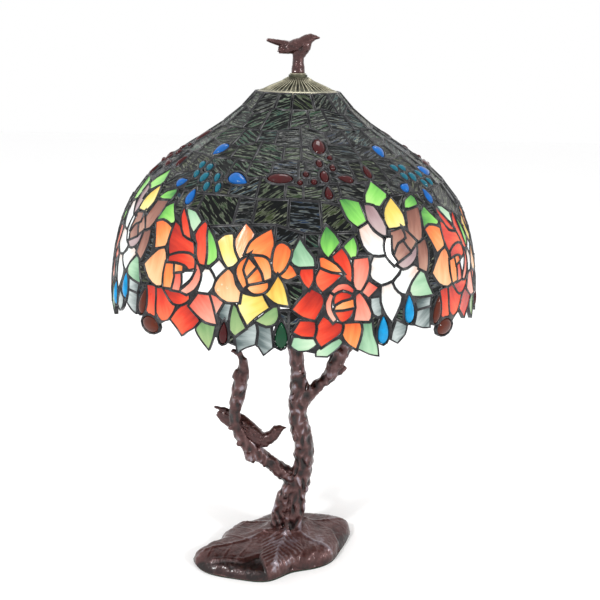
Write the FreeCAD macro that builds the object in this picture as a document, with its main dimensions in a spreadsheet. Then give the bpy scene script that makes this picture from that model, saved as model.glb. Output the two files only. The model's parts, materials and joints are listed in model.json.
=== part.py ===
import FreeCAD, Part
import math
import os

import Sketcher
from FreeCAD import Placement, Rotation, Vector

# Leaded-glass table lamp: a bell shade of cut panes and cast jewels on a cast tree-trunk base.
# Origin: on the shade's axis, at the surface the foot stands on. +Z up, -Y is the front. Millimetres.

SIZES = {
    # shade
    "shade_dia": (504, "diameter of the bell at its widest"),
    "shade_depth": (330, "height of the bell's meridian, top opening to the end of the hem"),
    "shade_top_rad": (54, "radius of the top opening"),
    "shade_top_z": (690, "height of the top opening"),
    "cartoon_length": (414, "length of the full-size drawing along the meridian"),
    "glass_thick": (3, "thickness of the sheet glass"),
    "seam_width": (2.8, "width of a soldered seam"),
    "seam_thick": (4.2, "thickness of the foil and solder, both sides"),
    "seam_gap": (0.5, "free line between the foils of two neighbours"),
    "glass_inset": (0.6, "the glass starts this far outside the bell's surface, in the middle of the foil"),
    "outline_error": (0.16, "a pane's outline may cut its drawn curve by this much"),
    "speck_area": (12, "a gap smaller than this closes when its neighbours are soldered"),
    "jewel_rise": (4.5, "height of a cast jewel above the sheet glass"),
    "scrap_area": (30, "a pane smaller than this is filled with solder"),
    "draw_allowance": (1.1, "the drawn outlines stop this far short of the seams' middle lines"),
    "flower_share": (0.4, "the flowers start this far down the shade, as a share of its depth"),
    # top fittings
    "ring_width": (5, "width of the aperture ring"),
    "ring_thick": (5, "height of the aperture ring"),
    "ring_gap": (0.3, "gap between the aperture ring and the glass round it"),
    "ring_bevel": (2, "bevel of the ring's outer top edge, clear of the first course's flat panes"),
    "hub_rad": (14, "radius of the spider's hub"),
    "hub_thick": (6, "height of the spider's hub"),
    "hub_drop": (0.5, "the spider's top lies this far under the top opening"),
    "spoke_width": (7, "width of a spider arm"),
    "spoke_thick": (4, "height of a spider arm"),
    "cap_rad": (52, "radius of the heat cap's rim"),
    "cap_neck_rad": (12.5, "radius of the heat cap's neck"),
    "cap_rise": (24, "height of the heat cap"),
    "cap_wall": (1.6, "sheet thickness of the heat cap"),
    "cap_lip": (2.5, "height of the heat cap's upright rim"),
    "cap_slots": (24, "number of vents in the heat cap"),
    "cap_slot_width": (1.8, "width of a vent"),
    "collar_thick": (2, "height of the finial washer"),
    "stem_rise": (22, "height of the finial's stem under the bird"),
    "stem_low_rad": (8.4, "radius of the finial's stem at its foot"),
    "stem_high_rad": (6, "radius of the finial's stem under the bird"),
    "thread_engage": (12, "depth of the finial's threaded hole"),
    # rod
    "rod_dia": (10, "outside diameter of the threaded support rod"),
    "rod_bore": (6, "wire way through the rod"),
    "rod_play": (0.05, "radial play of the parts that turn or slide on the rod"),
    "nut_width": (17, "width across the flats of the rod's nuts"),
    "nut_thick": (5, "thickness of the rod's nuts"),
    "washer_rad": (13, "radius of the rod's washers"),
    "washer_thick": (2, "thickness of the rod's washers"),
    "rod_sunk": (25, "length of the rod screwed into the trunk"),
    "nipple_sunk": (16, "length of the foot's nipple screwed into the trunk"),
    # lights
    "cluster_z": (474, "height of the middle of the lamp cluster"),
    "cluster_rad": (20, "radius of the cluster body"),
    "cluster_tall": (34, "height of the cluster body"),
    "lights": (3, "number of sockets"),
    "light_tilt": (20, "rise of a socket's axis above level, degrees"),
    "light_first": (30, "azimuth of the first socket, degrees"),
    "arm_dia": (12, "diameter of a socket arm"),
    "arm_reach": (30, "from the rod's axis to a socket's cap"),
    "socket_rad": (19, "radius of a socket shell"),
    "socket_wall": (1.2, "wall of a socket shell"),
    "socket_cap_deep": (16, "length of a socket's cap"),
    "socket_deep": (38, "length of a socket's shell"),
    "liner_wall": (2.4, "wall of the insulator in the shell"),
    "screw_rad": (13.1, "radius of a bulb's screw cap"),
    "screw_long": (24, "length of a bulb's screw cap"),
    "screw_play": (0.4, "radial play of the screw cap in the insulator"),
    "bulb_rad": (30, "radius of a bulb"),
    "bulb_long": (82, "length of a bulb's glass"),
    "bulb_neck_rad": (12.6, "radius of a bulb's neck"),
    "key_rad": (2.5, "radius of a switch key's stem"),
    "key_play": (0.08, "radial play of a switch key's stem"),
    "key_long": (16, "length of a switch key beyond the socket cap"),
    "key_head_wide": (13, "width of a switch key's head"),
    "key_head_thick": (4, "thickness of a switch key's head"),
    "key_station": (0.68, "a switch key's place along its socket's cap, as a share of it"),
    # base
    "trunk_foot_z": (20, "height of the trunk's underside"),
    "trunk_top_z": (372, "height of the trunk's top"),
    "foot_wall": (4, "wall of the foot casting"),
    "foot_edge": (11, "height of the foot's edge"),
    "foot_crown": (30, "height of the foot at the trunk"),
    "felt_thick": (2, "thickness of the felt pad"),
    "plate_thick": (2, "thickness of the cover plate"),
    "boss_rad": (27, "radius of the boss that seats the trunk"),
    "seat_deep": (3, "depth of the trunk's seat in the boss"),
    "bushing_rad": (3.4, "radius of the cord bushing"),
    "bushing_bore": (4.8, "bore of the cord bushing"),
    "bushing_flange_rad": (4.4, "radius of the cord bushing's flange"),
    "bushing_flange": (1.8, "thickness of the cord bushing's flange"),
    "bushing_long": (5.2, "length of the cord bushing inside the wall"),
    "bushing_z": (6.8, "height of the cord bushing's axis"),
    "bushing_end": (51, "from the lamp's axis back to the foot's wall at the bushing"),
    "cavity_share": (0.88, "outline of the foot's hollow, as a share of its own"),
    "crown_share": (0.3, "outline of the foot's crown, as a share of its own"),
}

doc = FreeCAD.newDocument("glass_lamp")
sheet = doc.addObject("Spreadsheet::Sheet", "Sizes")
for row, (alias, (value, meaning)) in enumerate(SIZES.items(), start=1):
    sheet.set("A%d" % row, meaning)
    sheet.set("B%d" % row, str(value))
    sheet.setAlias("B%d" % row, alias)
doc.recompute()


def size(alias):
    return float(sheet.get(alias))


nodes = []


def node(piece, label):
    """names a finished sub-part and lists it for the export"""
    piece.Label = label
    nodes.append(piece)
    return piece


def feature(label, shape):
    """a sub-part whose shape is worked out below from the sheet's values"""
    piece = doc.addObject("Part::Feature", label)
    piece.Shape = shape
    piece.Placement = Placement()
    return node(piece, label)


def bind(piece, **expressions):
    for name, expression in expressions.items():
        piece.setExpression(name.replace("__", "."), expression)
    return piece


def turned(name, profile):
    """a PartDesign body spun about its own Z axis from a closed outline of (radius, height) expressions"""
    body = doc.addObject("PartDesign::Body", name)
    plane = [part for part in body.Origin.OriginFeatures if part.Role == "XZ_Plane"][0]
    sketch = body.newObject("Sketcher::SketchObject", name + "_outline")
    sketch.AttachmentSupport = (plane, [""])
    sketch.MapMode = "FlatFace"
    count = len(profile)
    rough = [Vector(20 + 10 * math.cos(math.tau * step / count), 10 * math.sin(math.tau * step / count), 0)
             for step in range(count)]
    for step in range(count):
        sketch.addGeometry(Part.LineSegment(rough[step], rough[(step + 1) % count]))
    for step in range(count):
        sketch.addConstraint(Sketcher.Constraint("Coincident", step, 2, (step + 1) % count, 1))
    for step, (radius, height) in enumerate(profile):
        if radius == "0":
            sketch.addConstraint(Sketcher.Constraint("PointOnObject", step, 1, -2))
        else:
            across = sketch.addConstraint(Sketcher.Constraint("DistanceX", -1, 1, step, 1, rough[step].x))
            sketch.setExpression("Constraints[%d]" % across, radius)
        up = sketch.addConstraint(Sketcher.Constraint("DistanceY", -1, 1, step, 1, rough[step].y))
        sketch.setExpression("Constraints[%d]" % up, height)
    spin = body.newObject("PartDesign::Revolution", name + "_spin")
    spin.Profile = sketch
    spin.ReferenceAxis = (sketch, ["V_Axis"])
    spin.Angle = 360
    sketch.Visibility = False
    return body


# ---------------------------------------------------------------- shade surface

BELL = [  # the bell's meridian: share of the widest radius, share of the depth below the top opening
    (0.214, 0.0),
    (0.408, 0.136),
    (0.658, 0.258),
    (0.850, 0.394),
    (0.965, 0.606),
    (0.998, 0.80),
    (1.0, 1.0),
]


def bell_curve():
    """the meridian in the XZ plane, from the top opening down to the hem"""
    radius = size("shade_dia") / 2
    points = [Vector(radius * across, 0, size("shade_top_z") - size("shade_depth") * down)
              for across, down in BELL]
    points[0].x = size("shade_top_rad")
    curve = Part.BSplineCurve()
    curve.interpolate(points)
    return curve


bell = bell_curve()
bell_length = bell.length()
arc_scale = bell_length / size("cartoon_length")


def on_bell(azimuth, arc):
    """the point at an azimuth in degrees from the front and an arc length on the drawing"""
    station = bell.parameterAtDistance(max(0.0, min(arc * arc_scale, bell_length)))
    point = bell.value(station)
    turn = math.radians(azimuth)
    return Vector(point.x * math.sin(turn), -point.x * math.cos(turn), point.z)


# ---------------------------------------------------------------- cartoon
# One quarter of the shade, repeated four times. Corners are (azimuth in degrees, arc length in mm from
# the top opening). A corner with a third value of 1 is sharp, and the outline curves round the others.
# A pane that comes first lies in front of the panes after it, which are cut to meet it.

DROP, OVAL = "drop", "oval"

JEWELS = [  # glass, form, azimuth, arc, half width, half length, heading of the point in degrees
    ("jewels_blue", DROP, -42.3, 108, 12, 13.5, 200),
    ("jewels_blue", DROP, -22.3, 155, 12, 15.5, 112),
    ("jewels_blue", DROP, -46.2, 171, 9, 10, 60),
    ("jewels_blue", DROP, -37.4, 188, 8.5, 12.5, 0),
    ("jewels_teal", OVAL, -37.2, 158, 6, 9, 10),
    ("jewels_teal", OVAL, -43.6, 139.5, 5, 7.5, -20),
    ("jewels_teal", OVAL, -38.4, 141.5, 5.6, 7, -15),
    ("jewels_teal", OVAL, -42.2, 155, 5, 7.5, -20),
    ("jewels_teal", OVAL, -31.3, 156, 4.4, 8, -12),
    ("jewels_teal", OVAL, -33.4, 171, 4.8, 7.8, -10),
    ("jewels_teal", OVAL, -28.4, 171, 4.5, 7.8, -8),
    ("jewels_red", OVAL, 12.3, 92, 9.3, 15.5, 5),
    ("jewels_red", OVAL, -6.0, 150, 8.6, 16.5, 90),
    ("jewels_red", DROP, 19.4, 151, 8, 11, -70),
    ("jewels_red", DROP, 11.4, 171, 6.8, 10.5, 0),
    ("jewels_red", OVAL, 11.2, 146, 6, 10.5, 0),
    ("jewels_red", OVAL, 4.0, 143, 4.4, 5, 0),
    ("jewels_red", OVAL, 1.6, 156.5, 4, 4.4, 0),
    ("jewels_red", OVAL, 6.8, 155, 4.6, 5, 0),
    ("jewels_red", OVAL, 10.2, 124, 4.8, 7.5, 0),
    ("jewels_red", OVAL, 16.0, 114.5, 4.2, 4.4, 0),
    ("jewels_red", OVAL, 15.6, 132, 4.4, 6.6, 10),
    ("jewels_red", DROP, 30.3, 141, 6.4, 12, 0),
    ("jewels_cyan", DROP, 32.8, 316, 9.8, 18.5, 0),
    ("jewels_cyan", DROP, 24.4, 336, 9.8, 18, 0),
    ("jewels_red", DROP, -18.2, 340, 7.6, 14.5, 4),
    ("jewels_green", DROP, -2.9, 337, 9.8, 17, 0),
    ("jewels_amber", DROP, -46.4, 325, 9.5, 19, 14),
    ("jewels_amber", OVAL, -42.8, 350.5, 11, 17, 90),
]

PANES = [
    # orange rose, bud
    ("petals_orange", [(-11.3, 250, 1), (-8.7, 250), (-6.9, 254), (-6.0, 264), (-5.9, 273, 1),
                      (-7.7, 276.5, 1), (-8.3, 268), (-9.6, 260)]),
    ("petals_orange", [(-12.7, 250, 1), (-14.7, 257), (-15.6, 266), (-15.0, 276),
                      (-13.3, 286.5, 1), (-12.4, 283, 1), (-12.9, 276), (-13.9, 266),
                      (-13.3, 257)]),
    ("petals_orange", [(-12.5, 252, 1), (-10.2, 261.5, 1), (-12.7, 274, 1), (-13.7, 265)]),
    ("petals_orange", [(-10.1, 262, 1), (-8.4, 269), (-7.9, 276.8, 1), (-12.7, 282, 1),
                      (-12.6, 275)]),
    ("petals_orange", [(-12.4, 284, 1), (-6.7, 278, 1), (-6.6, 284), (-8.0, 290), (-10.3, 291.5),
                      (-11.8, 288)]),
    # orange rose, outer petals
    ("petals_yellow", [(-4.2, 270, 1), (-2.8, 278), (-1.8, 290), (-1.1, 303, 1), (-4, 301.5),
                      (-6, 296.5), (-7.4, 291, 1), (-5.9, 283)]),
    ("petals_orange", [(-5.4, 240), (-4.4, 234.5), (-2.8, 234), (-0.8, 241.5), (-1.6, 255),
                      (-2.8, 264), (-4.2, 269, 1), (-5.6, 264), (-5.8, 252)]),
    ("petals_orange", [(-1.6, 256, 1), (-0.3, 260), (0.9, 269, 1), (-1.6, 274), (-4.1, 270, 1),
                      (-2.6, 263)]),
    ("petals_orange", [(-13.5, 248, 1), (-12.4, 235), (-9.6, 225), (-6.6, 218, 1), (-5.7, 232),
                      (-5.8, 246), (-6.4, 254, 1), (-8.6, 249), (-11, 247.5)]),
    ("petals_orange", [(-17, 233), (-15.8, 222), (-14.5, 213, 1), (-11.5, 225), (-12.7, 235),
                      (-13.4, 248), (-14.6, 256, 1), (-16.2, 246)]),
    ("petals_yellow", [(-22.3, 237, 1), (-20.4, 229), (-17.9, 227, 1), (-17.2, 236), (-16.3, 246),
                      (-15.3, 257, 1), (-16.6, 263), (-18.1, 265, 1), (-19.6, 258),
                      (-21.1, 247)]),
    ("petals_peach", [(-17.8, 266, 1), (-16.3, 272), (-15.5, 283), (-13.9, 291, 1),
                     (-14.2, 302.5, 1), (-17.6, 303.5), (-20.4, 297), (-21.5, 289),
                     (-20.3, 277)]),
    ("petals_yellow", [(-13.7, 292, 1), (-10.3, 294.5), (-8.0, 292, 1), (-7.3, 298),
                      (-6.1, 306, 1), (-9.4, 317), (-11.8, 328, 1), (-13.2, 318), (-14.5, 306)]),
    # red rose on the left, bud
    ("petals_red", [(-37.6, 263, 1), (-34.5, 257.5), (-30.5, 256), (-28.4, 261), (-28.1, 271, 1),
                   (-29.9, 273.5, 1), (-31.5, 269), (-34.5, 267.5), (-37.7, 269, 1)]),
    ("petals_orange", [(-35.0, 270, 1), (-32.1, 270, 1), (-31.9, 276.5, 1), (-34.7, 279.5, 1)]),
    ("petals_orange", [(-38.4, 270.5, 1), (-35.3, 270.5, 1), (-34.9, 285), (-35.4, 299, 1),
                      (-38.2, 300, 1), (-38.7, 285)]),
    ("petals_pink", [(-35.0, 281, 1), (-32.5, 278, 1), (-32.0, 290), (-32.3, 300, 1),
                    (-35.3, 300.5, 1)]),
    ("petals_white", [(-32.2, 277.5, 1), (-28.1, 274.5, 1), (-29.2, 284), (-31.7, 294, 1),
                     (-31.9, 287)]),
    ("petals_pink", [(-27.8, 263, 1), (-26.2, 272), (-26.0, 283), (-27.5, 295), (-29.8, 302, 1),
                    (-32.0, 300, 1), (-29.3, 289), (-27.9, 278)]),
    # red rose on the left, outer petals
    ("petals_red", [(-37.5, 203, 1), (-35.6, 212), (-33.2, 224), (-31.0, 239, 1), (-34.1, 235),
                   (-36.1, 224), (-37.4, 214)]),
    ("petals_red", [(-27.6, 216, 1), (-26.6, 220), (-26.3, 232), (-25.2, 250), (-24.9, 266, 1),
                   (-26.7, 265), (-28.2, 255), (-28.8, 243), (-30.1, 233), (-29, 222)]),
    ("petals_red", [(-38.6, 222, 1), (-36, 227), (-33.4, 238), (-29.9, 242), (-28.6, 257, 1),
                   (-32, 256), (-37.8, 262, 1), (-39.1, 245)]),
    ("petals_orange", [(-47.2, 228, 1), (-44.5, 224), (-41, 227), (-38.9, 231.5, 1), (-39.2, 243),
                      (-39.9, 252.5, 1), (-44.1, 258, 1), (-45.3, 245)]),
    ("petals_peach", [(-40.4, 253.5, 1), (-39, 260), (-38.3, 275), (-38.6, 298, 1), (-41, 301),
                     (-44.9, 294.5), (-47.7, 280, 1), (-46, 272), (-42.9, 260)]),
    ("petals_red", [(-38, 301, 1), (-33.5, 301), (-29.2, 301, 1), (-28.7, 307), (-31.2, 315),
                   (-34.1, 316), (-36.3, 309)]),
    ("petals_red", [(-40.8, 302, 1), (-38, 302), (-36.2, 309.5), (-33.0, 316, 1), (-33.9, 326),
                   (-36, 338), (-38.2, 341, 1), (-40.3, 333), (-40.5, 315)]),
    ("petals_red", [(-44.9, 303, 1), (-43, 302), (-40.9, 302, 1), (-40.4, 312), (-40.4, 325),
                   (-40.8, 338, 1), (-43.7, 338), (-45.2, 330), (-45, 315)]),
    ("petals_pink", [(-26.2, 299, 1), (-22.8, 298.5, 1), (-21.7, 310), (-20.1, 331, 1),
                    (-23.4, 330), (-26.3, 323), (-28.7, 315, 1), (-27.4, 307)]),
    ("petals_red", [(-29.6, 311, 1), (-27, 321), (-25.2, 330, 1), (-27.1, 340), (-29.3, 346.5),
                   (-30.7, 352, 1), (-32.6, 343.5), (-34.8, 335.5, 1), (-33.1, 325),
                   (-31.5, 318)]),
    ("petals_white", [(-24.8, 269.5, 1), (-23.4, 269.5, 1), (-21.5, 280), (-22.1, 290),
                     (-23.3, 297, 1), (-26.4, 298, 1), (-25.6, 285), (-25.8, 277)]),
    ("petals_white", [(-20.8, 257.5, 1), (-18.4, 267, 1), (-21.1, 278, 1), (-23.3, 267, 1)]),
    ("petals_pink", [(-22.3, 297, 1), (-19.8, 300), (-18.6, 305, 1), (-19.8, 315), (-20.7, 322, 1),
                    (-22.1, 309)]),
    # red rose on the right, bud
    ("petals_pink", [(9.8, 287, 1), (11.8, 279.5), (14.4, 279.5), (16.1, 286, 1), (15.8, 290, 1),
                    (13, 285.5), (10.6, 289.5, 1)]),
    ("petals_pink", [(9.6, 288.5, 1), (8.4, 300), (8.8, 312), (10.4, 322, 1), (11.3, 319, 1),
                    (10, 308), (10, 298), (10.6, 290.5, 1)]),
    ("petals_red", [(10.4, 292, 1), (12.5, 288), (15.6, 291, 1), (14.9, 295.5), (12.7, 297.5),
                   (10.7, 302, 1)]),
    ("petals_orange", [(11.1, 303.5, 1), (13, 298), (15.9, 297, 1), (16.1, 306, 1), (13, 308),
                      (10.6, 308, 1)]),
    ("petals_red", [(10.6, 309.5, 1), (13, 309.5), (16, 308, 1), (15, 317), (12.9, 322.5),
                   (11.4, 317)]),
    # red rose on the right, outer petals
    ("petals_red", [(1.8, 262, 1), (5.2, 261.5, 1), (5.2, 274), (4, 284, 1), (2.6, 278),
                   (1.5, 268)]),
    ("petals_orange", [(6.8, 250, 1), (8, 249), (11.5, 258), (13.1, 266.5, 1), (10.2, 265),
                      (7, 259.5, 1)]),
    ("petals_red", [(6.1, 268), (7, 260.5, 1), (9.5, 265), (12.8, 269.5, 1), (10.3, 279),
                   (7.6, 287.5, 1), (6.2, 281), (5.7, 273)]),
    ("petals_red", [(10.4, 248, 1), (13.2, 239, 1), (14.7, 248), (15.7, 262), (15.4, 278, 1),
                   (14.1, 274), (13, 264), (11.2, 256)]),
    ("petals_pink", [(16.5, 252, 1), (20.7, 251, 1), (20.9, 262), (19.9, 276), (18, 288, 1),
                    (16.3, 285), (15.9, 268)]),
    ("petals_pink", [(20.4, 278, 1), (23.1, 286, 1), (20.1, 296.5, 1), (18.1, 289, 1)]),
    ("petals_pink", [(16.5, 293.5), (17.7, 290, 1), (19.4, 300), (20.9, 315), (20.2, 323.5, 1),
                    (15.9, 321.5, 1), (16.5, 308)]),
    ("petals_red", [(-0.3, 307, 1), (1.5, 297), (4.5, 283.5, 1), (7.3, 290), (7.9, 299),
                   (6.9, 310), (5.7, 319, 1), (2.5, 315.5)]),
    ("petals_red", [(1.8, 320, 1), (5.7, 320, 1), (5.9, 330), (5.4, 338.5, 1), (2.3, 338),
                   (0.1, 333, 1)]),
    ("petals_red", [(7.8, 315, 1), (10, 321), (12.9, 324, 1), (12.6, 334), (10.6, 341),
                   (7.4, 350.5, 1), (5.9, 340), (6.0, 328)]),
    ("petals_orange", [(13.3, 324, 1), (17.6, 324, 1), (18.1, 332), (17.5, 345), (16.7, 355, 1),
                      (14.5, 348), (12.9, 337)]),
    # brown and white rose, bud
    ("petals_white", [(27.3, 231, 1), (29, 231, 1), (28.5, 240), (28.3, 250), (29.7, 260, 1),
                     (28.7, 263, 1), (26.6, 252), (26.4, 240)]),
    ("petals_brown", [(29.2, 225, 1), (33.5, 222, 1), (34, 233), (31, 238), (29, 249, 1),
                     (28.8, 238)]),
    ("petals_brown", [(34.1, 222, 1), (36, 230), (38, 240, 1), (35.3, 249, 1), (33.6, 238),
                     (34, 232)]),
    ("petals_brown", [(33.3, 235, 1), (34.7, 243), (34.9, 251, 1), (30.2, 259.5, 1), (29, 250),
                     (31, 240)]),
    ("petals_lilac", [(37.6, 244, 1), (37, 256), (34.5, 265), (31.5, 268), (29.5, 261.5, 1),
                     (35, 251.5)]),
    # brown and white rose, outer petals
    ("petals_yellow", [(33.9, 182, 1), (35.1, 192), (36.2, 206), (35.4, 220.5, 1), (28.9, 221, 1),
                      (28.4, 209), (30, 195)]),
    ("petals_lilac", [(22.7, 189, 1), (26, 191.5), (27.4, 205), (28.2, 218), (27.4, 230.5, 1),
                     (24.8, 223), (22.5, 208)]),
    ("petals_white", [(18.9, 218.5, 1), (22.3, 212, 1), (23.6, 222), (26.4, 231.5, 1),
                     (26.1, 250, 1), (22.3, 249), (19.7, 238)]),
    ("petals_brown", [(37.9, 202, 1), (44.1, 199, 1), (42.7, 218), (40.6, 237), (37.8, 241, 1),
                     (35.9, 228), (37, 212)]),
    ("petals_brown", [(38.1, 242, 1), (41.7, 238.5, 1), (42.1, 252), (41.1, 268), (40, 277, 1),
                     (37.1, 270.5, 1), (37.5, 255)]),
    ("petals_white", [(22.3, 251.5, 1), (26.3, 251, 1), (27.9, 260), (30.5, 268.5, 1),
                     (27.6, 279.5), (24, 283, 1), (21.3, 275), (20.9, 264)]),
    ("petals_white", [(30.8, 269.5, 1), (35.5, 266.5), (37.5, 272, 1), (34, 284), (31.6, 298, 1),
                     (29.5, 293.5), (27.9, 282.5), (30.2, 275)]),
    ("petals_white", [(24.1, 284.5, 1), (27.1, 281.5, 1), (28.5, 291), (30.3, 300), (29.2, 312),
                     (27, 327.5, 1), (25.3, 318), (23.9, 303)]),
    # leaves
    ("leaves_mint", [(37.1, 273, 1), (39, 277), (40.1, 290), (41.8, 305, 1), (37, 304),
                    (33, 300.5, 1), (33.6, 289)]),
    ("leaves_mint", [(-36.2, 204, 1), (-32.5, 206), (-29.1, 217, 1), (-30.7, 231, 1), (-33, 222.5),
                    (-34.9, 213)]),
    ("leaves_mint", [(1.5, 228, 1), (3.4, 240), (5.3, 250), (5.6, 259.5, 1), (2.5, 260.5),
                    (0, 257.5), (-1, 250), (0, 240)]),
    ("leaves_green", [(9.2, 213, 1), (11.6, 223), (12.9, 233, 1), (9.3, 250, 1), (7.9, 243),
                     (7.1, 233), (7.8, 223)]),
    ("leaves_green", [(-26.7, 220, 1), (-24.3, 230), (-22.7, 240), (-21.5, 255), (-23.2, 265, 1),
                     (-24.7, 265.5, 1), (-25, 252), (-26.3, 235)]),
    ("leaves_green", [(-47.8, 216), (-45.6, 206), (-43, 200, 1), (-41.3, 210), (-38.7, 223, 1),
                     (-41, 226), (-44, 223), (-48.2, 226, 1)]),
    ("leaves_green", [(-52.2, 198, 1), (-50.2, 188), (-46, 182, 1), (-44.9, 187), (-45.5, 198, 1),
                     (-49, 199.5)]),
    ("leaves_green", [(14.4, 181, 1), (17, 180), (21.4, 185, 1), (21.7, 198), (22.2, 210),
                     (19, 217.5, 1), (16.4, 207), (15.3, 195)]),
    ("leaves_green", [(29.3, 156, 1), (33.3, 177), (31, 185), (28.3, 193, 1), (23.4, 188.5, 1),
                     (24.5, 176), (27, 166)]),
    ("leaves_green", [(13.9, 237), (17.1, 227, 1), (17.8, 237), (17.3, 249), (16, 252, 1),
                     (14.6, 246)]),
    ("leaves_olive", [(-15.7, 305, 1), (-14.8, 309), (-13.8, 319), (-12.2, 331.5, 1),
                     (-15, 341.5, 1), (-16.4, 335), (-16.4, 320)]),
    ("leaves_olive", [(-6, 306.5, 1), (-4.1, 304.5, 1), (-3.7, 315), (-4.6, 323.5), (-6.8, 327),
                     (-9.7, 322, 1), (-7.8, 315)]),
    ("leaves_olive", [(-25.3, 330.5, 1), (-22.5, 329), (-20.5, 332, 1), (-21.2, 348),
                     (-22.3, 362, 1), (-24.6, 352), (-26.2, 342), (-25.9, 335)]),
    ("leaves_mint", [(0.2, 339, 1), (6, 339, 1), (6.5, 346), (4.2, 354, 1), (1.5, 355),
                    (-0.4, 349, 1)]),
    ("leaves_mint", [(7.2, 351.5, 1), (12.1, 341, 1), (13, 346), (10.8, 356), (9, 362, 1),
                    (6.1, 361, 1), (6.2, 355)]),
    ("leaves_mint", [(18.1, 325.5, 1), (21, 324.5, 1), (21.5, 340), (22.7, 353), (23.1, 366, 1),
                    (20.6, 363), (16.9, 354, 1), (17.9, 340)]),
    # rippled panes along the hem
    ("ripple_border", [(-15, 343, 1), (-12.5, 334), (-9.7, 324.5, 1), (-9.2, 334),
                      (-9.6, 349.5, 1), (-12.4, 355), (-14.2, 361, 1)]),
    ("ripple_border", [(-9.1, 325, 1), (-5.7, 327, 1), (-5.3, 340), (-5, 352, 1), (-7.3, 361, 1),
                      (-8.7, 351.5), (-9.4, 348)]),
    ("ripple_border", [(-18.5, 305.5, 1), (-16.3, 304, 1), (-16.1, 318), (-17.6, 327, 1),
                      (-19.5, 322), (-19.3, 312)]),
    ("ripple_border", [(35.1, 305.5, 1), (41, 306.5, 1), (40.4, 317.5, 1), (35.5, 318, 1)]),
    ("ripple_border", [(35.5, 318.5, 1), (40.5, 318, 1), (40.3, 344, 1), (37.5, 342),
                      (34.6, 336, 1), (35.2, 328)]),
    ("ripple_border", [(27.3, 340), (28.5, 327, 1), (31.8, 335, 1), (31.2, 345), (28.8, 354, 1),
                      (26.9, 349, 1)]),
    ("ripple_border", [(20.8, 297.5, 1), (23.8, 297, 1), (23.8, 317), (22.6, 319, 1), (21, 313)]),
]

HEM = [(-49, 342), (-47.5, 344), (-39, 346), (-36.5, 339), (-33.5, 337), (-28, 341), (-20, 346), (-16, 352),
       (-14, 354), (-9.5, 346), (-5, 352), (0, 352), (6, 358), (13, 347), (17, 358), (23, 350), (27, 344),
       (31, 334), (36, 339), (41, 342)]

ROWS = [0, 30, 61, 92, 124, 155, 186, 216, 246, 278, 310, 362]  # arc lengths of the courses of dark panes
CELLS = [4, 5, 6, 7, 8, 9, 9, 10, 10, 10, 10]                   # dark panes in a quarter of each course
QUARTER = 90.0
UNIT_START = -49.0
DRAWN_DEGREE = 4.3   # width of one degree on the flat drawing


def wobble(index, place):
    """a steady irregularity between -1 and 1 for the dark panes' corners"""
    return math.sin(index * 12.9 + place * 7.3 + 1.7 * math.sin(index * 3.1 + place))


def course_corner(course, place):
    """the azimuth and arc length of a corner on the line between two courses"""
    cells = CELLS[min(course, len(CELLS) - 1)]
    turn = place % cells
    azimuth = UNIT_START + QUARTER * (place + 0.22 * wobble(course, turn)) / cells + 4.7 * course
    edge = course in (0, len(ROWS) - 1)
    arc = ROWS[course] + (0 if edge else 6.5 * wobble(course + 5, turn))
    return azimuth, arc


def seam_arc(course, azimuth):
    """the arc length of the line between two courses at an azimuth"""
    cells = CELLS[min(course, len(CELLS) - 1)]
    corners = [course_corner(course, place) for place in range(-3 * cells, 4 * cells)]
    for (first, arc_first), (second, arc_second) in zip(corners, corners[1:]):
        if first <= azimuth <= second:
            return arc_first + (arc_second - arc_first) * (azimuth - first) / (second - first)


def dark_cells():
    """outlines of the background panes of one quarter: courses of irregular five- and six-sided panes"""
    outlines = []
    for course, cells in enumerate(CELLS):
        lower_count = CELLS[min(course + 1, len(CELLS) - 1)]
        lower = [course_corner(course + 1, place) for place in range(-2 * lower_count, 3 * lower_count)]
        for place in range(cells):
            left, arc_left = course_corner(course, place)
            right, arc_right = course_corner(course, place + 1)
            under = [corner for corner in lower if left < corner[0] < right]
            outlines.append([(left, arc_left), (right, arc_right), (right, seam_arc(course + 1, right))]
                            + under[::-1] + [(left, seam_arc(course + 1, left))])
    return outlines


def flat(azimuth, arc):
    return Vector(azimuth * DRAWN_DEGREE, arc, 0)


def polygon(points):
    """a flat face from a closed list of points"""
    return Part.Face(Part.makePolygon(points + [points[0]]))


def drawn(corners, steps=2):
    """the flat outline of a pane: straight into sharp corners, curved past the others"""
    count = len(corners)
    points = []
    for index, corner in enumerate(corners):
        before = flat(*corners[index - 1][:2])
        here = flat(*corner[:2])
        after = flat(*corners[(index + 1) % count][:2])
        beyond = flat(*corners[(index + 2) % count][:2])
        sharp_here = len(corner) == 3
        sharp_after = len(corners[(index + 1) % count]) == 3
        leave = (after - here) if sharp_here else (after - before) * 0.5
        arrive = (after - here) if sharp_after else (beyond - here) * 0.5
        for step in range(steps):
            t = step / steps
            points.append(here * (2 * t ** 3 - 3 * t ** 2 + 1) + leave * (t ** 3 - 2 * t ** 2 + t)
                          + after * (3 * t ** 2 - 2 * t ** 3) + arrive * (t ** 3 - t ** 2))
    return grown(polygon(points), size("draw_allowance"))


def grown(face, margin):
    """the flat face with its edge moved out by a margin, or in by a negative one"""
    return face.makeOffset2D(margin, 2)


def jewel_outline(form, azimuth, arc, half_width, half_length, heading, sides=12):
    """the flat outline of a jewel, in its true shape at its place on the bell"""
    radius = bell.value(bell.parameterAtDistance(arc * arc_scale)).x
    stretch = DRAWN_DEGREE / (radius * math.radians(1))
    lean = math.radians(heading)
    points = []
    for step in range(sides):
        turn = math.tau * step / sides
        narrow = math.sin(turn / 2) ** 0.8 if form == DROP else 1
        across = half_width * math.sin(turn) * narrow
        along = -half_length * math.cos(turn)
        beside = stretch * (across * math.cos(lean) - along * math.sin(lean))
        down = across * math.sin(lean) + along * math.cos(lean)
        points.append(Vector(azimuth * DRAWN_DEGREE + beside, arc + down, 0))
    return grown(polygon(points), size("draw_allowance"))


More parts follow.
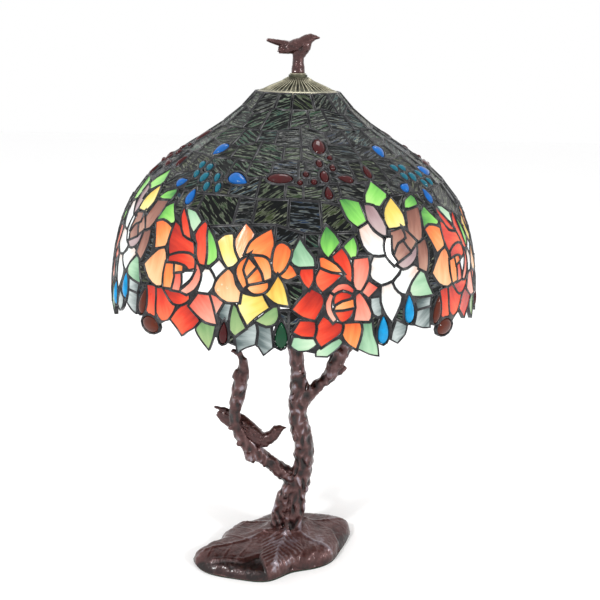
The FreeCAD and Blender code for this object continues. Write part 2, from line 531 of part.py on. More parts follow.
def near(face, other):
    return face.BoundBox.intersect(other.BoundBox)


def cut_to(face, front):
    """what is left of a pane behind the panes in front of it"""
    cutters = [pane for pane in front if near(face, pane)]
    return face.cut(cutters).Faces if cutters else [face]


def opened(face):
    """a pane that would surround another is split beside it, as a cutter has to"""
    if len(face.Wires) == 1:
        return [face]
    hole = [wire for wire in face.Wires if not wire.isSame(face.OuterWire)][0].BoundBox.Center
    box = face.BoundBox
    pieces = []
    for start, end in ((box.XMin - 1, hole.x), (hole.x, box.XMax + 1)):
        half = Part.makePlane(end - start, box.YLength + 2, Vector(start, box.YMin - 1, 0))
        for piece in face.common(half).Faces:
            pieces += opened(piece)
    return pieces


def draw_unit():
    """every pane of one quarter as (glass, flat face), front first"""
    front = []
    panes = []
    for glass, form, azimuth, arc, half_width, half_length, heading in JEWELS:
        face = jewel_outline(form, azimuth, arc, half_width, half_length, heading)
        panes.append((glass, face))
        front.append(face)
    shift = Vector(QUARTER * DRAWN_DEGREE, 0, 0)
    for glass, corners in PANES:
        beside = [face.translated(shift * side) for side in (-1, 1) for face in front]
        for face in cut_to(drawn(corners), front + beside):
            panes.append((glass, face))
            front.append(face)
    beside = [face.translated(shift * side) for side in (-1, 1) for face in front]
    hem = [(azimuth - QUARTER, arc) for azimuth, arc in HEM] + HEM + [(a + QUARTER, arc) for a, arc in HEM]
    below = polygon([flat(a, arc) for a, arc in hem] + [flat(hem[-1][0], 500), flat(hem[0][0], 500)])
    for outline in dark_cells():
        for face in cut_to(polygon([flat(*corner) for corner in outline]), front + beside + [below]):
            panes += [("glass_background", piece) for piece in opened(face)]
    return panes


def trimmed(points, error):
    """a closed outline without the corners that stand less than an error off the line past them"""
    kept = list(points)
    removed = True
    while removed and len(kept) > 4:
        removed = False
        for index in range(len(kept)):
            before, here, after = kept[index - 1], kept[index], kept[(index + 1) % len(kept)]
            chord = after - before
            off = (here - before).cross(chord).Length / chord.Length if chord.Length > error else 0
            if off < error or (here - before).Length < error:
                kept.pop(index)
                removed = True
                break
    return kept


def on_plane(face):
    """a drawn pane bent onto the bell and flattened to its own plane: flat face and outward normal"""
    corners = [vertex.Point for vertex in face.OuterWire.OrderedVertexes]
    bent = [on_bell(corner.x / DRAWN_DEGREE, corner.y) for corner in corners]
    points = trimmed(bent, size("outline_error"))
    middle = sum(points, Vector()) / len(points)
    normal = Vector()
    for first, second in zip(points, points[1:] + points[:1]):
        normal += (first - middle).cross(second - middle)
    normal.normalize()
    if normal.dot(Vector(middle.x, middle.y, 0)) < 0:
        normal = -normal
    return polygon([point - normal * (point - middle).dot(normal) for point in points]), normal


def crosses(first, second, third, fourth, normal):
    """whether two sides of an outline cross"""
    def side(start, end, point):
        return (end - start).cross(point - start).dot(normal)
    return (side(first, second, third) * side(first, second, fourth) < 0
            and side(third, fourth, first) * side(third, fourth, second) < 0)


def simple(points, normal):
    """whether no side of a closed outline crosses another"""
    count = len(points)
    sides = [(points[index], points[(index + 1) % count]) for index in range(count)]
    for index in range(count):
        for other in range(index + 2, count - (index == 0)):
            if crosses(*sides[index], *sides[other], normal):
                return False
    return True


def eased(outline, slack):
    """a closed outline without the points that turn it by less than the slack"""
    kept = list(outline)
    index = 0
    while index < len(kept) and len(kept) > 2:
        before, after = kept[index - 1], kept[(index + 1) % len(kept)]
        if kept[index].distanceToLine(before, after - before) < slack:
            kept.pop(index)
            index = max(index - 1, 0)
        else:
            index += 1
    return kept


def inset(face, margin, normal):
    """the flat faces left inside a margin: each side moves in, and a side that would vanish is dropped"""
    points = [vertex.Point for vertex in face.OuterWire.OrderedVertexes]
    start = points[0]
    fan = zip(points, points[1:])
    swept = sum(((first - start).cross(second - start) for first, second in fan), Vector())
    if swept.dot(normal) < 0:
        points.reverse()
    while len(points) > 2:
        count = len(points)
        sides = [points[(index + 1) % count] - points[index] for index in range(count)]
        inward = [normal.cross(side).normalize() for side in sides]
        moved = []
        for index in range(count):
            lean = max(1 + inward[index - 1].dot(inward[index]), 0.35)
            moved.append(points[index] + (inward[index - 1] + inward[index]) * (margin / lean))
        lost = [index for index in range(count)
                if (moved[(index + 1) % count] - moved[index]).dot(sides[index]) <= 0]
        if not lost:
            break
        after = (lost[0] + 1) % count
        points[lost[0]] = (points[lost[0]] + points[after]) * 0.5
        points.pop(after)
    if len(points) < 3:
        return []
    if simple(moved, normal):
        return [polygon(moved)]
    bands = []  # a waist has closed, so what is left comes apart: a band comes off along every side
    for edge in face.OuterWire.Edges:
        start, end = [vertex.Point for vertex in edge.Vertexes]
        along = (end - start).normalize() * margin
        across = normal.cross(along)
        bands.append(polygon([start - along - across, end + along - across,
                              end + along + across, start - along + across]))
    left = []
    for piece in face.cut(bands).Faces:
        outline = [vertex.Point for vertex in piece.OuterWire.OrderedVertexes]
        calmer = eased(outline, margin / 3)
        left.append(polygon(calmer if len(calmer) > 2 and simple(calmer, normal) else outline))
    return left


def cabochon(face, normal):
    """a cast jewel: a straight edge with a faceted dome over it"""
    edge = [vertex.Point for vertex in face.OuterWire.OrderedVertexes]
    middle = face.CenterOfMass
    straight = size("glass_thick") * 0.7
    rise = size("jewel_rise")
    levels = [(1.0, 0.0), (1.0, straight), (0.84, straight + rise * 0.58), (0.42, straight + rise)]
    rings = [[middle + (point - middle) * share + normal * up for point in edge] for share, up in levels]
    faces = [polygon(rings[0]), polygon(rings[-1])]
    for low, high in zip(rings, rings[1:]):
        for index in range(len(edge)):
            faces.append(polygon([low[index - 1], low[index], high[index], high[index - 1]]))
    return Part.makeSolid(Part.makeShell(faces))


def quarters(solids):
    """the same solids in each quarter of the shade"""
    axis = Vector(0, 0, 1)
    return [solid.rotated(Vector(), axis, QUARTER * turn) for turn in range(4) for solid in solids]


def glaze():
    """cuts and foils every pane: each glass's solids by node, and the foils of the two zones"""
    glass = {}
    foils = {"seams_upper": [], "seams_lower": []}
    flowers_z = size("shade_top_z") - size("shade_depth") * size("flower_share")
    for kind, drawing in draw_unit():
        if drawing.Area < size("speck_area"):
            continue
        cell, normal = on_plane(drawing)
        zone = "seams_lower" if cell.CenterOfMass.z < flowers_z else "seams_upper"
        for outer in inset(cell, size("seam_gap") / 2, normal):
            foil = outer.extrude(normal * size("seam_thick"))
            sheets = inset(outer, (size("seam_width") - size("seam_gap")) / 2, normal)
            for sheet_face in sheets:
                if sheet_face.Area < size("scrap_area"):
                    continue
                set_in = sheet_face.translated(normal * size("glass_inset"))
                if kind.startswith("jewels"):
                    solid = cabochon(set_in, normal)
                else:
                    solid = set_in.extrude(normal * size("glass_thick"))
                glass.setdefault(kind, []).append(solid)
                foil = foil.cut(sheet_face.extrude(normal * size("seam_thick")))
            foils[zone] += foil.Solids
    return glass, foils


# ---------------------------------------------------------------- shade

glass, foils = glaze()
for kind in sorted(glass):
    feature(kind, Part.makeCompound(quarters(glass[kind])))
for zone, solids in foils.items():
    feature(zone, Part.makeCompound(quarters(solids)))

# ---------------------------------------------------------------- rod and its nuts

def tube(name, outer, inner, low, tall):
    """a plain ring about the lamp's axis from expressions for its radii, underside and height"""
    return turned(name, [(inner, low), (outer, low), (outer, "(%s) + (%s)" % (low, tall)),
                         (inner, "(%s) + (%s)" % (low, tall))])


def nut(name, low):
    """a hexagon nut screwed on the rod's thread"""
    body = bind(doc.addObject("Part::Prism", name + "_hexagon"), Height="Sizes.nut_thick",
                Circumradius="Sizes.nut_width / 2 / cos(30)")
    hole = bind(doc.addObject("Part::Cylinder", name + "_thread"), Radius="Sizes.rod_dia / 2",
                Height="Sizes.nut_thick")
    body.setExpression("Placement.Base.z", low)
    hole.setExpression("Placement.Base.z", low)
    cut = doc.addObject("Part::Cut", name)
    cut.Base, cut.Tool = body, hole
    return cut


def together(name, pieces):
    """alike pieces that are listed as one sub-part"""
    group = doc.addObject("Part::Compound", name)
    group.Links = pieces
    return node(group, name)


ROD = "Sizes.rod_dia / 2"
RUNNING = "Sizes.rod_dia / 2 + Sizes.rod_play"
HUB_TOP = "(Sizes.shade_top_z - Sizes.hub_drop)"
HUB_LOW = "(%s - Sizes.hub_thick)" % HUB_TOP
NECK_TOP = "(Sizes.shade_top_z + Sizes.cap_rise)"
STEM_LOW = "(%s + Sizes.collar_thick)" % NECK_TOP
ROD_LOW = "(Sizes.trunk_top_z - Sizes.rod_sunk)"
ROD_TOP = "(%s + Sizes.thread_engage - 1)" % STEM_LOW
BOSS_LOW = "(Sizes.felt_thick + Sizes.plate_thick + Sizes.nut_thick + Sizes.washer_thick + 1)"

node(tube("support_rod", ROD, "Sizes.rod_bore / 2", ROD_LOW, "%s - %s" % (ROD_TOP, ROD_LOW)), "support_rod")
node(nut("trunk_lock_nut", "Sizes.trunk_top_z"), "trunk_lock_nut")
SEAT_WASHER_LOW = HUB_LOW + " - Sizes.washer_thick"
node(tube("seat_washer", "Sizes.washer_rad", ROD, SEAT_WASHER_LOW, "Sizes.washer_thick"), "seat_washer")
node(nut("seat_nut", SEAT_WASHER_LOW + " - Sizes.nut_thick"), "seat_nut")
FOOT_WASHER_LOW = BOSS_LOW + " - Sizes.washer_thick"
NIPPLE_LOW = FOOT_WASHER_LOW + " - Sizes.nut_thick"
NIPPLE_LONG = "Sizes.trunk_foot_z + Sizes.nipple_sunk - (%s)" % NIPPLE_LOW
node(tube("foot_nipple", ROD, "Sizes.rod_bore / 2", NIPPLE_LOW, NIPPLE_LONG), "foot_nipple")
node(tube("foot_washer", "Sizes.washer_rad", ROD, FOOT_WASHER_LOW, "Sizes.washer_thick"), "foot_washer")
node(nut("foot_nut", NIPPLE_LOW), "foot_nut")

# ---------------------------------------------------------------- shade's ring, spider, cap and finial

RING_OUTER = "Sizes.shade_top_rad - Sizes.ring_gap"
RING_INNER = "Sizes.shade_top_rad - Sizes.ring_width"
RING_LOW = "Sizes.shade_top_z - Sizes.ring_thick"
ring = turned("aperture_ring", [
    (RING_INNER, RING_LOW), (RING_OUTER, RING_LOW), (RING_OUTER, "Sizes.shade_top_z - Sizes.ring_bevel"),
    (RING_OUTER + " - Sizes.ring_bevel", "Sizes.shade_top_z"), (RING_INNER, "Sizes.shade_top_z")])
node(ring, "aperture_ring")


def spider():
    """three arms from a hub that slides on the rod to the inside of the aperture ring"""
    top = size("shade_top_z") - size("hub_drop")
    low = top - size("hub_thick")
    reach = size("shade_top_rad") - size("ring_width")
    shape = Part.makeCylinder(size("hub_rad"), size("hub_thick"), Vector(0, 0, low))
    arm = Part.makeBox(reach + 1, size("spoke_width"), size("spoke_thick"),
                       Vector(0, -size("spoke_width") / 2, top - size("spoke_thick")))
    for turn in (0, 120, 240):
        shape = shape.fuse(arm.rotated(Vector(), Vector(0, 0, 1), turn + 90))
    shape = shape.common(Part.makeCylinder(reach, size("hub_thick"), Vector(0, 0, low)))
    bore = size("rod_dia") / 2 + size("rod_play")
    return shape.cut(Part.makeCylinder(bore, size("hub_thick"), Vector(0, 0, low)))


feature("shade_spider", spider())


def heat_cap():
    """a shallow spun cone with vents between its ribs"""
    rim, neck, wall = size("cap_rad"), size("cap_neck_rad"), size("cap_wall")
    low, high = size("shade_top_z"), size("shade_top_z") + size("cap_rise")
    bore = size("rod_dia") / 2 + size("rod_play")
    lip = size("cap_lip")
    slope = [(rim, low + lip), (rim * 0.72, low + 8.5), (rim * 0.42, low + 15), (neck, high - 4)]
    under = [(radius - wall, height - wall) for radius, height in slope[::-1]]
    collar = [(neck, high), (bore, high), (bore, high - wall), (neck - wall, high - wall)]
    outline = [(rim, low)] + slope + collar + under + [(rim - wall, low)]
    section = polygon([Vector(radius, 0, height) for radius, height in outline])
    shell = section.revolve(Vector(), Vector(0, 0, 1), 360)
    count = int(size("cap_slots"))
    width = size("cap_slot_width")
    slot = Part.makeBox(rim * 0.36, width, size("cap_rise"), Vector(rim * 0.48, -width / 2, low + lip))
    slots = [slot.rotated(Vector(), Vector(0, 0, 1), 360 * turn / count) for turn in range(count)]
    return shell.cut(slots)


feature("heat_cap", heat_cap())
node(tube("finial_washer", "Sizes.stem_low_rad + 1.6", RUNNING, NECK_TOP, "Sizes.collar_thick"),
     "finial_washer")


def egg(centre, length, radius, rise=0.0, steps=9):
    """an egg shape spun about its long axis, by its half length and its radius, pitched up by rise degrees"""
    turns = [math.pi * step / steps for step in range(steps + 1)]
    outline = polygon([Vector(length * math.cos(turn), radius * math.sin(turn), 0) for turn in turns])
    ball = outline.revolve(Vector(), Vector(1, 0, 0), 360)
    ball.rotate(Vector(), Vector(0, 1, 0), -rise)
    ball.translate(Vector(*centre))
    return ball


def spike(start, end, start_rad, end_rad):
    """a cone between two points"""
    start, end = Vector(*start), Vector(*end)
    return Part.makeCone(start_rad, end_rad, (end - start).Length, start, end - start)


def feather_fan(root, tip, root_wide, tip_wide, thick):
    """a flat tail or wing between two points in a plane of constant Y"""
    root, tip = Vector(*root), Vector(*tip)
    along = (tip - root).normalize()
    up = Vector(0, 1, 0).cross(along)
    across_root, across_tip = up * (root_wide / 2), up * (tip_wide / 2)
    corners = [root + across_root, tip + across_tip, tip - across_tip, root - across_root]
    face = polygon([corner - Vector(0, thick / 2, 0) for corner in corners])
    return face.extrude(Vector(0, thick, 0))


def finial_bird():
    """a small bird on a tapered stem with a blind threaded hole for the rod"""
    low = size("shade_top_z") + size("cap_rise") + size("collar_thick")
    high = low + size("stem_rise")
    low_rad, high_rad = size("stem_low_rad"), size("stem_high_rad")
    stem = Part.makeCone(low_rad, high_rad, size("stem_rise") + 5, Vector(0, 0, low))
    body = egg((-2, 0, high + 10), 20, 9.3, rise=12)
    head = egg((13.5, 0, high + 20), 7.2, 6.4)
    beak = spike((17, 0, high + 20.5), (28, 0, high + 20.5), 3.2, 0.6)
    tail = feather_fan((-12, 0, high + 9), (-41, 0, high + 18), 9, 8, 6)
    wings = [feather_fan((4, side * 7.5, high + 11), (-28, side * 8.5, high + 3.5), 10, 4, 3)
             for side in (-1, 1)]
    bird = stem.fuse([body, head, beak, tail] + wings)
    bore = size("rod_dia") / 2 + size("rod_play")
    return bird.cut(Part.makeCylinder(bore, size("thread_engage"), Vector(0, 0, low)))


feature("finial_bird", finial_bird())

# ---------------------------------------------------------------- lights

LIGHT = "Sizes.arm_reach"
CAP_END = "(Sizes.arm_reach + Sizes.socket_cap_deep)"
SHELL_END = "(%s + Sizes.socket_deep)" % CAP_END
INNER = "(Sizes.socket_rad - Sizes.socket_wall)"
BULB = [(0.47, 0.13), (0.7, 0.3), (0.9, 0.44), (1, 0.62), (0.93, 0.8), (0.7, 0.92), (0.35, 0.985)]
SCREW_LOW = "(%s - Sizes.screw_long)" % SHELL_END


def light_frame(number):
    """where a light stands: its axis leaves the middle of the cluster, rising outwards"""
    azimuth = math.radians(size("light_first") + 360 / size("lights") * number)
    tilt = math.radians(size("light_tilt"))
    outward = Vector(math.sin(azimuth) * math.cos(tilt), -math.cos(azimuth) * math.cos(tilt), math.sin(tilt))
    sideways = Vector(math.cos(azimuth), math.sin(azimuth), 0)
    return Placement(Vector(0, 0, size("cluster_z")), Rotation(sideways, outward.cross(sideways), outward))


cluster = tube("cluster_body", "Sizes.cluster_rad", ROD, "Sizes.cluster_z - Sizes.cluster_tall / 2",
               "Sizes.cluster_tall")
node(cluster, "cluster_body")
low_nut = nut("cluster_nut_low", "Sizes.cluster_z - Sizes.cluster_tall / 2 - Sizes.nut_thick")
high_nut = nut("cluster_nut_high", "Sizes.cluster_z + Sizes.cluster_tall / 2")
together("cluster_nuts", [low_nut, high_nut])

arms = []
shells = []
liners = []
for number in range(int(size("lights"))):
    mark = "_%d" % (number + 1)
    place = light_frame(number)
    arm = Part.makeCylinder(size("arm_dia") / 2, size("arm_reach") - size("cluster_rad") / 2,
                            Vector(0, 0, size("cluster_rad") / 2))
    arm.Placement = place
    arms.append(arm.cut(Part.makeCylinder(size("cluster_rad"), 2 * size("cluster_tall"),
                                          Vector(0, 0, size("cluster_z") - size("cluster_tall")))))

    cup = turned("socket_cup" + mark, [
        ("0", LIGHT), ("Sizes.arm_dia / 2 + 3", LIGHT), ("Sizes.socket_rad - 1", LIGHT + " + 6"),
        ("Sizes.socket_rad", CAP_END), (INNER, CAP_END),
        (INNER + " - 1", LIGHT + " + 6 + Sizes.socket_wall"), ("0", LIGHT + " + 2 * Sizes.socket_wall")])
    keyhole = bind(doc.addObject("Part::Cylinder", "keyhole" + mark), Height="2 * Sizes.socket_rad",
                   Radius="Sizes.key_rad + Sizes.key_play")
    keyhole.setExpression("Placement.Base.z", LIGHT + " + Sizes.socket_cap_deep * Sizes.key_station")
    keyhole.Placement = Placement(keyhole.Placement.Base, Rotation(Vector(0, 1, 0), 90))
    cap = doc.addObject("Part::Cut", "socket_cap" + mark)
    cap.Base, cap.Tool = cup, keyhole
    cap.Placement = place
    node(cap, "socket_cap" + mark)

    shell = tube("socket_shell" + mark, "Sizes.socket_rad", INNER, CAP_END, "Sizes.socket_deep")
    shell.Placement = place
    shells.append(shell)
    liner = tube("socket_liner" + mark, INNER, "Sizes.screw_rad + Sizes.screw_play", CAP_END + " + 2",
                 "Sizes.socket_deep - 2")
    liner.Placement = place
    liners.append(liner)

    key_base = size("arm_reach") + size("socket_cap_deep") * size("key_station")
    stem_end = size("socket_rad") + size("key_long")
    inside = size("socket_rad") - 5
    stem = Part.makeCylinder(size("key_rad"), stem_end - inside, Vector(inside, 0, key_base), Vector(1, 0, 0))
    head_wide, head_thick = size("key_head_wide"), size("key_head_thick")
    head_corner = Vector(stem_end - 2, -head_wide / 2, key_base - head_thick / 2)
    head = Part.makeBox(8, head_wide, head_thick, head_corner)
    key = stem.fuse(head)
    key.Placement = place
    feature("switch_key" + mark, Part.makeCompound([key]))

    screw = turned("bulb_screw" + mark, [
        ("0", SCREW_LOW + " - 2.5"), ("5", SCREW_LOW + " - 2.5"), ("Sizes.screw_rad - 2", SCREW_LOW),
        ("Sizes.screw_rad", SCREW_LOW + " + 2"), ("Sizes.screw_rad", SHELL_END), ("0", SHELL_END)])
    screw.Placement = place
    node(screw, "bulb_screw" + mark)
    long, wide, neck = "Sizes.bulb_long", "Sizes.bulb_rad", "Sizes.bulb_neck_rad"
    glass_outline = [("0", SHELL_END), (neck, SHELL_END)]
    for share, along in BULB:
        glass_outline.append(("%s * %s" % (wide, share), SHELL_END + " + %s * %s" % (long, along)))
    glass_outline.append(("0", SHELL_END + " + %s" % long))
    envelope = turned("bulb_glass" + mark, glass_outline)
    envelope.Placement = place
    node(envelope, "bulb_glass" + mark)

feature("socket_arms", Part.makeCompound(arms))
together("socket_shells", shells)
together("socket_liners", liners)

# ---------------------------------------------------------------- trunk and branches

# centre and radius of the round sections along each limb
TRUNK = [(0, 0, 20, 23), (-2, 0, 48, 21), (6, 0, 84, 19.5), (14, 0, 116, 18), (19.5, 0, 148, 15.6),
         (16, 0, 182, 15), (10, 0, 218, 14.4), (10.5, 0, 256, 16), (6.5, 0, 300, 11), (2, 0, 338, 11),
         (0, 0, 372, 12)]
LEFT_BRANCH = [(12, 0, 112, 10), (-17, 0, 127, 10.4), (-45, 0, 147, 10), (-66, 0, 159, 10),
               (-82, 0, 180, 9.6), (-87, 0, 203, 9), (-84.5, 0, 227, 8.6), (-80, 0, 250, 9.5),
               (-77, 0, 268, 10.4), (-72, 0, 287, 6.6), (-73, 0, 305, 5), (-80, 0, 315, 4.4),
               (-91, 0, 320, 3.4)]
RIGHT_BRANCH = [(10, 0, 236, 9), (32, 0, 258, 8.6), (50, 0, 275, 9.5), (63, 0, 291, 10), (69, 0, 307, 9.4),
                (77, 0, 322, 8.4), (90, 0, 338, 7), (102, 0, 358, 5)]


def limb(stations):
    """a tapering limb through circles of given centre and radius"""
    centres = [Vector(x, y, z) for x, y, z, radius in stations]
    across = Vector(0, 1, 0)
    rings = []
    for index, centre in enumerate(centres):
        before = centres[max(index - 1, 0)]
        after = centres[min(index + 1, len(centres) - 1)]
        ring = Part.Circle(centre, (after - before).normalize(), stations[index][3])
        ring.XAxis = across
        rings.append(Part.Wire([ring.toShape()]))
    return Part.makeLoft(rings, True, False)


def stretched(stations):
    """the hand-placed trunk stations between the trunk's two named heights"""
    low, high = stations[0][2], stations[-1][2]
    share = (size("trunk_top_z") - size("trunk_foot_z")) / (high - low)
    return [(x, y, size("trunk_foot_z") + (z - low) * share, radius) for x, y, z, radius in stations]


trunk_tall = size("trunk_top_z") - size("trunk_foot_z")
level = Part.makeCylinder(2 * size("boss_rad"), trunk_tall, Vector(0, 0, size("trunk_foot_z")))
trunk_outer = limb(stretched(TRUNK)).common(level)
wire_way = limb([(x, y, z, size("rod_bore") / 2) for x, y, z, radius in stretched(TRUNK)])
rod_low = Vector(0, 0, size("trunk_top_z") - size("rod_sunk"))
rod_hole = Part.makeCylinder(size("rod_dia") / 2, size("rod_sunk"), rod_low)
nipple_hole = Part.makeCylinder(size("rod_dia") / 2, size("nipple_sunk"), Vector(0, 0, size("trunk_foot_z")))
feature("trunk_casting", trunk_outer.cut([wire_way, rod_hole, nipple_hole]))
left_branch = limb(LEFT_BRANCH).cut(trunk_outer)
feature("left_branch", left_branch)
feature("right_branch", limb(RIGHT_BRANCH).cut([trunk_outer]))


def perched_bird():
    """the bird that sits on the left branch, its tail passing behind the branch"""
    body = egg((-49, 3, 174), 28, 13.8, rise=-5)
    neck = egg((-31, 2.5, 181), 16, 11.5, rise=35)
    head = egg((-20, 2, 190), 10.5, 9.4)
    beak = spike((-13, 2, 192), (-5.5, 2, 195), 3.6, 0.8)
    tail = feather_fan((-66, 13, 186), (-117, 15, 216), 16, 13, 7)
    wings = [feather_fan((-36, y, 180), (-69, y + lean, 197), 20, 12, 5) for y, lean in ((-8, 0), (14, 2))]
    legs = [spike((-50, side, 165), (-50, side, 153), 3, 4) for side in (-2, 7)]
    return body.fuse([neck, head, beak, tail] + wings + legs).cut(left_branch)


feature("perched_bird", perched_bird())

# ---------------------------------------------------------------- foot

FOOT = [(-144, -66), (-128, -90), (-76, -108), (-24, -110), (6, -90), (34, -81), (66, -62), (83, -30),
        (97, 4), (98, 28), (74, 44), (26, 50), (-30, 48), (-58, 26), (-84, 13), (-106, -12), (-114, -36),
        (-132, -50)]


def foot_outline(share, height):
    """the foot's leafy outline, drawn in towards the trunk by a share, at a height"""
    curve = Part.BSplineCurve()
    curve.interpolate([Vector(x * share, y * share, height) for x, y in FOOT], PeriodicFlag=True)
    return Part.Wire([curve.toShape()])


def foot_slab(share, low, thick):
    return Part.Face(foot_outline(share, low)).extrude(Vector(0, 0, thick))


low, edge, crown, wall = size("felt_thick"), size("foot_edge"), size("foot_crown"), size("foot_wall")
cavity_share, crown_share = size("cavity_share"), size("crown_share")
hill = Part.makeLoft([foot_outline(1, low), foot_outline(0.97, edge), foot_outline(0.62, crown * 0.72),
                      foot_outline(crown_share, crown)], True, False)
hollow = [(cavity_share, low), (cavity_share * 0.97, edge - wall), (0.56, crown * 0.72 - wall),
          (crown_share * 0.8, crown - wall)]
cavity = Part.makeLoft([foot_outline(share, height) for share, height in hollow], True, False)
boss_low = low + size("plate_thick") + size("nut_thick") + size("washer_thick") + 1
boss_tall = size("trunk_foot_z") + size("seat_deep") - boss_low
boss = Part.makeCylinder(size("boss_rad"), boss_tall, Vector(0, 0, boss_low))
bushing_start = Vector(0, size("bushing_end") - size("bushing_long"), size("bushing_z"))
bushing_axis = Vector(0, 1, 0)
bushing_hole = Part.makeCylinder(size("bushing_rad"), 2 * size("bushing_long"), bushing_start, bushing_axis)
foot_hole = Part.makeCylinder(size("rod_dia") / 2, crown, Vector(0, 0, 0))
wall_face = bushing_start + bushing_axis * size("bushing_long")
flange_seat = Part.makeCylinder(size("bushing_flange_rad"), size("bushing_long"), wall_face, bushing_axis)
feature("foot_casting", hill.cut(cavity).fuse(boss).cut([trunk_outer, foot_hole, bushing_hole, flange_seat]))
feature("felt_pad", foot_slab(0.985, 0, low))
feature("cover_plate", foot_slab(cavity_share - 0.02, low, size("plate_thick")))


def cord_bushing():
    """a flanged sleeve in the foot's rear edge for a supply lead"""
    long, flange_thick = size("bushing_long"), size("bushing_flange")
    sleeve = Part.makeCylinder(size("bushing_rad"), long, bushing_start, bushing_axis)
    flange = Part.makeCylinder(size("bushing_flange_rad"), flange_thick, wall_face, bushing_axis)
    hole = Part.makeCylinder(size("bushing_bore") / 2, long + flange_thick, bushing_start, bushing_axis)
    return sleeve.fuse(flange).cut(hole)


feature("cord_bushing", cord_bushing())

# ---------------------------------------------------------------- check and export

doc.recompute()
for piece in doc.Objects:
    if "Invalid" in piece.State or "Error" in piece.State:
        raise RuntimeError("%s failed: %s" % (piece.Label, piece.State))
for piece in nodes:
    shape = piece.Shape
    if shape.isNull() or not shape.isValid() or not shape.Solids:
        raise RuntimeError("%s has no valid shape" % piece.Label)
os.makedirs("parts", exist_ok=True)
for piece in nodes:
    piece.Shape.exportStep("parts/%s.step" % piece.Label)
    print("%-20s %4d solids %10.1f mm3" % (piece.Label, len(piece.Shape.Solids), piece.Shape.Volume))
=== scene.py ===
import json
import math

import bmesh
import bpy
from mathutils import Matrix, Vector, noise


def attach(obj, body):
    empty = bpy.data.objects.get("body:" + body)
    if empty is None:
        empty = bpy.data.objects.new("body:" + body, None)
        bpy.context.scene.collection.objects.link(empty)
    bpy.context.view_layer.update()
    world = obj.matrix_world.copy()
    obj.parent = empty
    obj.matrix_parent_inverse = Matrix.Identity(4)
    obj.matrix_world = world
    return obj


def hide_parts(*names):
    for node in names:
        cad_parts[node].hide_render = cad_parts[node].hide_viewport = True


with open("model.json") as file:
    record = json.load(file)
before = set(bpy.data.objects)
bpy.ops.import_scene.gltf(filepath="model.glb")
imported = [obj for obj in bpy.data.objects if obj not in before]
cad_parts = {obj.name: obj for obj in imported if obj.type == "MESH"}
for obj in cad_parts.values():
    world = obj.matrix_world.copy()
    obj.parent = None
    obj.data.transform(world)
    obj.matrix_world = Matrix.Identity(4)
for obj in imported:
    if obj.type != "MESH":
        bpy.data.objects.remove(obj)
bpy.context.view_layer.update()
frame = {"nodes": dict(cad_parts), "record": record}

mm = 0.001
upward = Vector((0, 0, 1))


def say(stage):
    print("lamp:", stage)


def ink(red, green, blue):  # a colour as seen on screen, 0 to 255, turned into the shader's own
    shades = []
    for value in (red, green, blue):
        value /= 255
        shades.append(value / 12.92 if value <= 0.04045 else ((value + 0.055) / 1.055) ** 2.4)
    return (*shades, 1.0)


def mergedCopy(*nodes):
    bm = bmesh.new()
    for node in nodes:
        bm.from_mesh(frame["nodes"][node].data)
    bmesh.ops.remove_doubles(bm, verts=bm.verts, dist=0.01 * mm)
    return bm


def finished(bm, name, body, material, nodes=()):
    mesh = bpy.data.meshes.new(name)
    bm.to_mesh(mesh)
    bm.free()
    mesh.materials.append(material)
    piece = bpy.data.objects.new(name, mesh)
    bpy.context.collection.objects.link(piece)
    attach(piece, body)
    if nodes:
        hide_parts(*nodes)
    return piece


def smoothFaces(bm):
    for face in bm.faces:
        face.smooth = True


class Flow:  # one socket of a shader: arithmetic on it adds Math nodes
    def __init__(self, tree, socket):
        self.tree = tree
        self.socket = socket

    def done(self, operation, *values):
        node = self.tree.nodes.new("ShaderNodeMath")
        node.operation = operation
        for place, value in enumerate(values):
            plug(self.tree, node.inputs[place], value)
        return Flow(self.tree, node.outputs[0])

    def __add__(self, other):
        return self.done("ADD", self, other)

    def __sub__(self, other):
        return self.done("SUBTRACT", self, other)

    def __rsub__(self, other):
        return self.done("SUBTRACT", other, self)

    def __mul__(self, other):
        return self.done("MULTIPLY", self, other)

    def __pow__(self, other):
        return self.done("POWER", self, other)

    __radd__ = __add__
    __rmul__ = __mul__


def plug(tree, socket, value):
    if isinstance(value, Flow):
        tree.links.new(value.socket, socket)
    else:
        socket.default_value = value


class Finish:  # a material under way
    def __init__(self, name, **constants):
        self.material = bpy.data.materials.new(name)
        self.material.use_nodes = True
        self.tree = self.material.node_tree
        self.shader = self.tree.nodes["Principled BSDF"]
        for socket, value in constants.items():
            self.shader.inputs[socket.replace("_", " ")].default_value = value

    def add(self, kind, settings=None, sockets=None, out=0):
        node = self.tree.nodes.new("ShaderNode" + kind)
        for key, value in (settings or {}).items():
            if key == "stops":
                ramp = node.color_ramp.elements
                ramp[0].position = value[0][0]
                ramp[-1].position = value[-1][0]
                for place, colour in value[1:-1]:
                    ramp.new(place)
                for element, (place, colour) in zip(ramp, value):
                    element.color = colour
            else:
                setattr(node, key, value)
        for key, value in (sockets or {}).items():
            plug(self.tree, node.inputs[key], value)
        return Flow(self.tree, node.outputs[out])

    def mixed(self, first, second, share, mode="MIX"):
        settings = {"data_type": "RGBA", "blend_type": mode}
        return self.add("Mix", settings, {0: share, 6: first, 7: second}, out=2)

    def noiseOn(self, place, scale, detail=3.0, rough=0.5):
        sockets = {"Vector": place, "Scale": scale, "Detail": detail, "Roughness": rough}
        return self.add("TexNoise", None, sockets)

    def ramp(self, value, *stops):
        return self.add("ValToRGB", {"stops": stops}, {"Fac": value})

    def stretched(self, place, *scale):
        return self.add("Mapping", None, {"Vector": place, "Scale": scale})

    def objectPlace(self):
        return self.add("TexCoord", out="Object")

    def bump(self, height, strength, distance):
        return self.add("Bump", None, {"Height": height, "Strength": strength, "Distance": distance})

    def feed(self, **flows):
        for socket, flow in flows.items():
            self.tree.links.new(flow.socket, self.shader.inputs[socket.replace("_", " ")])
        return self.material


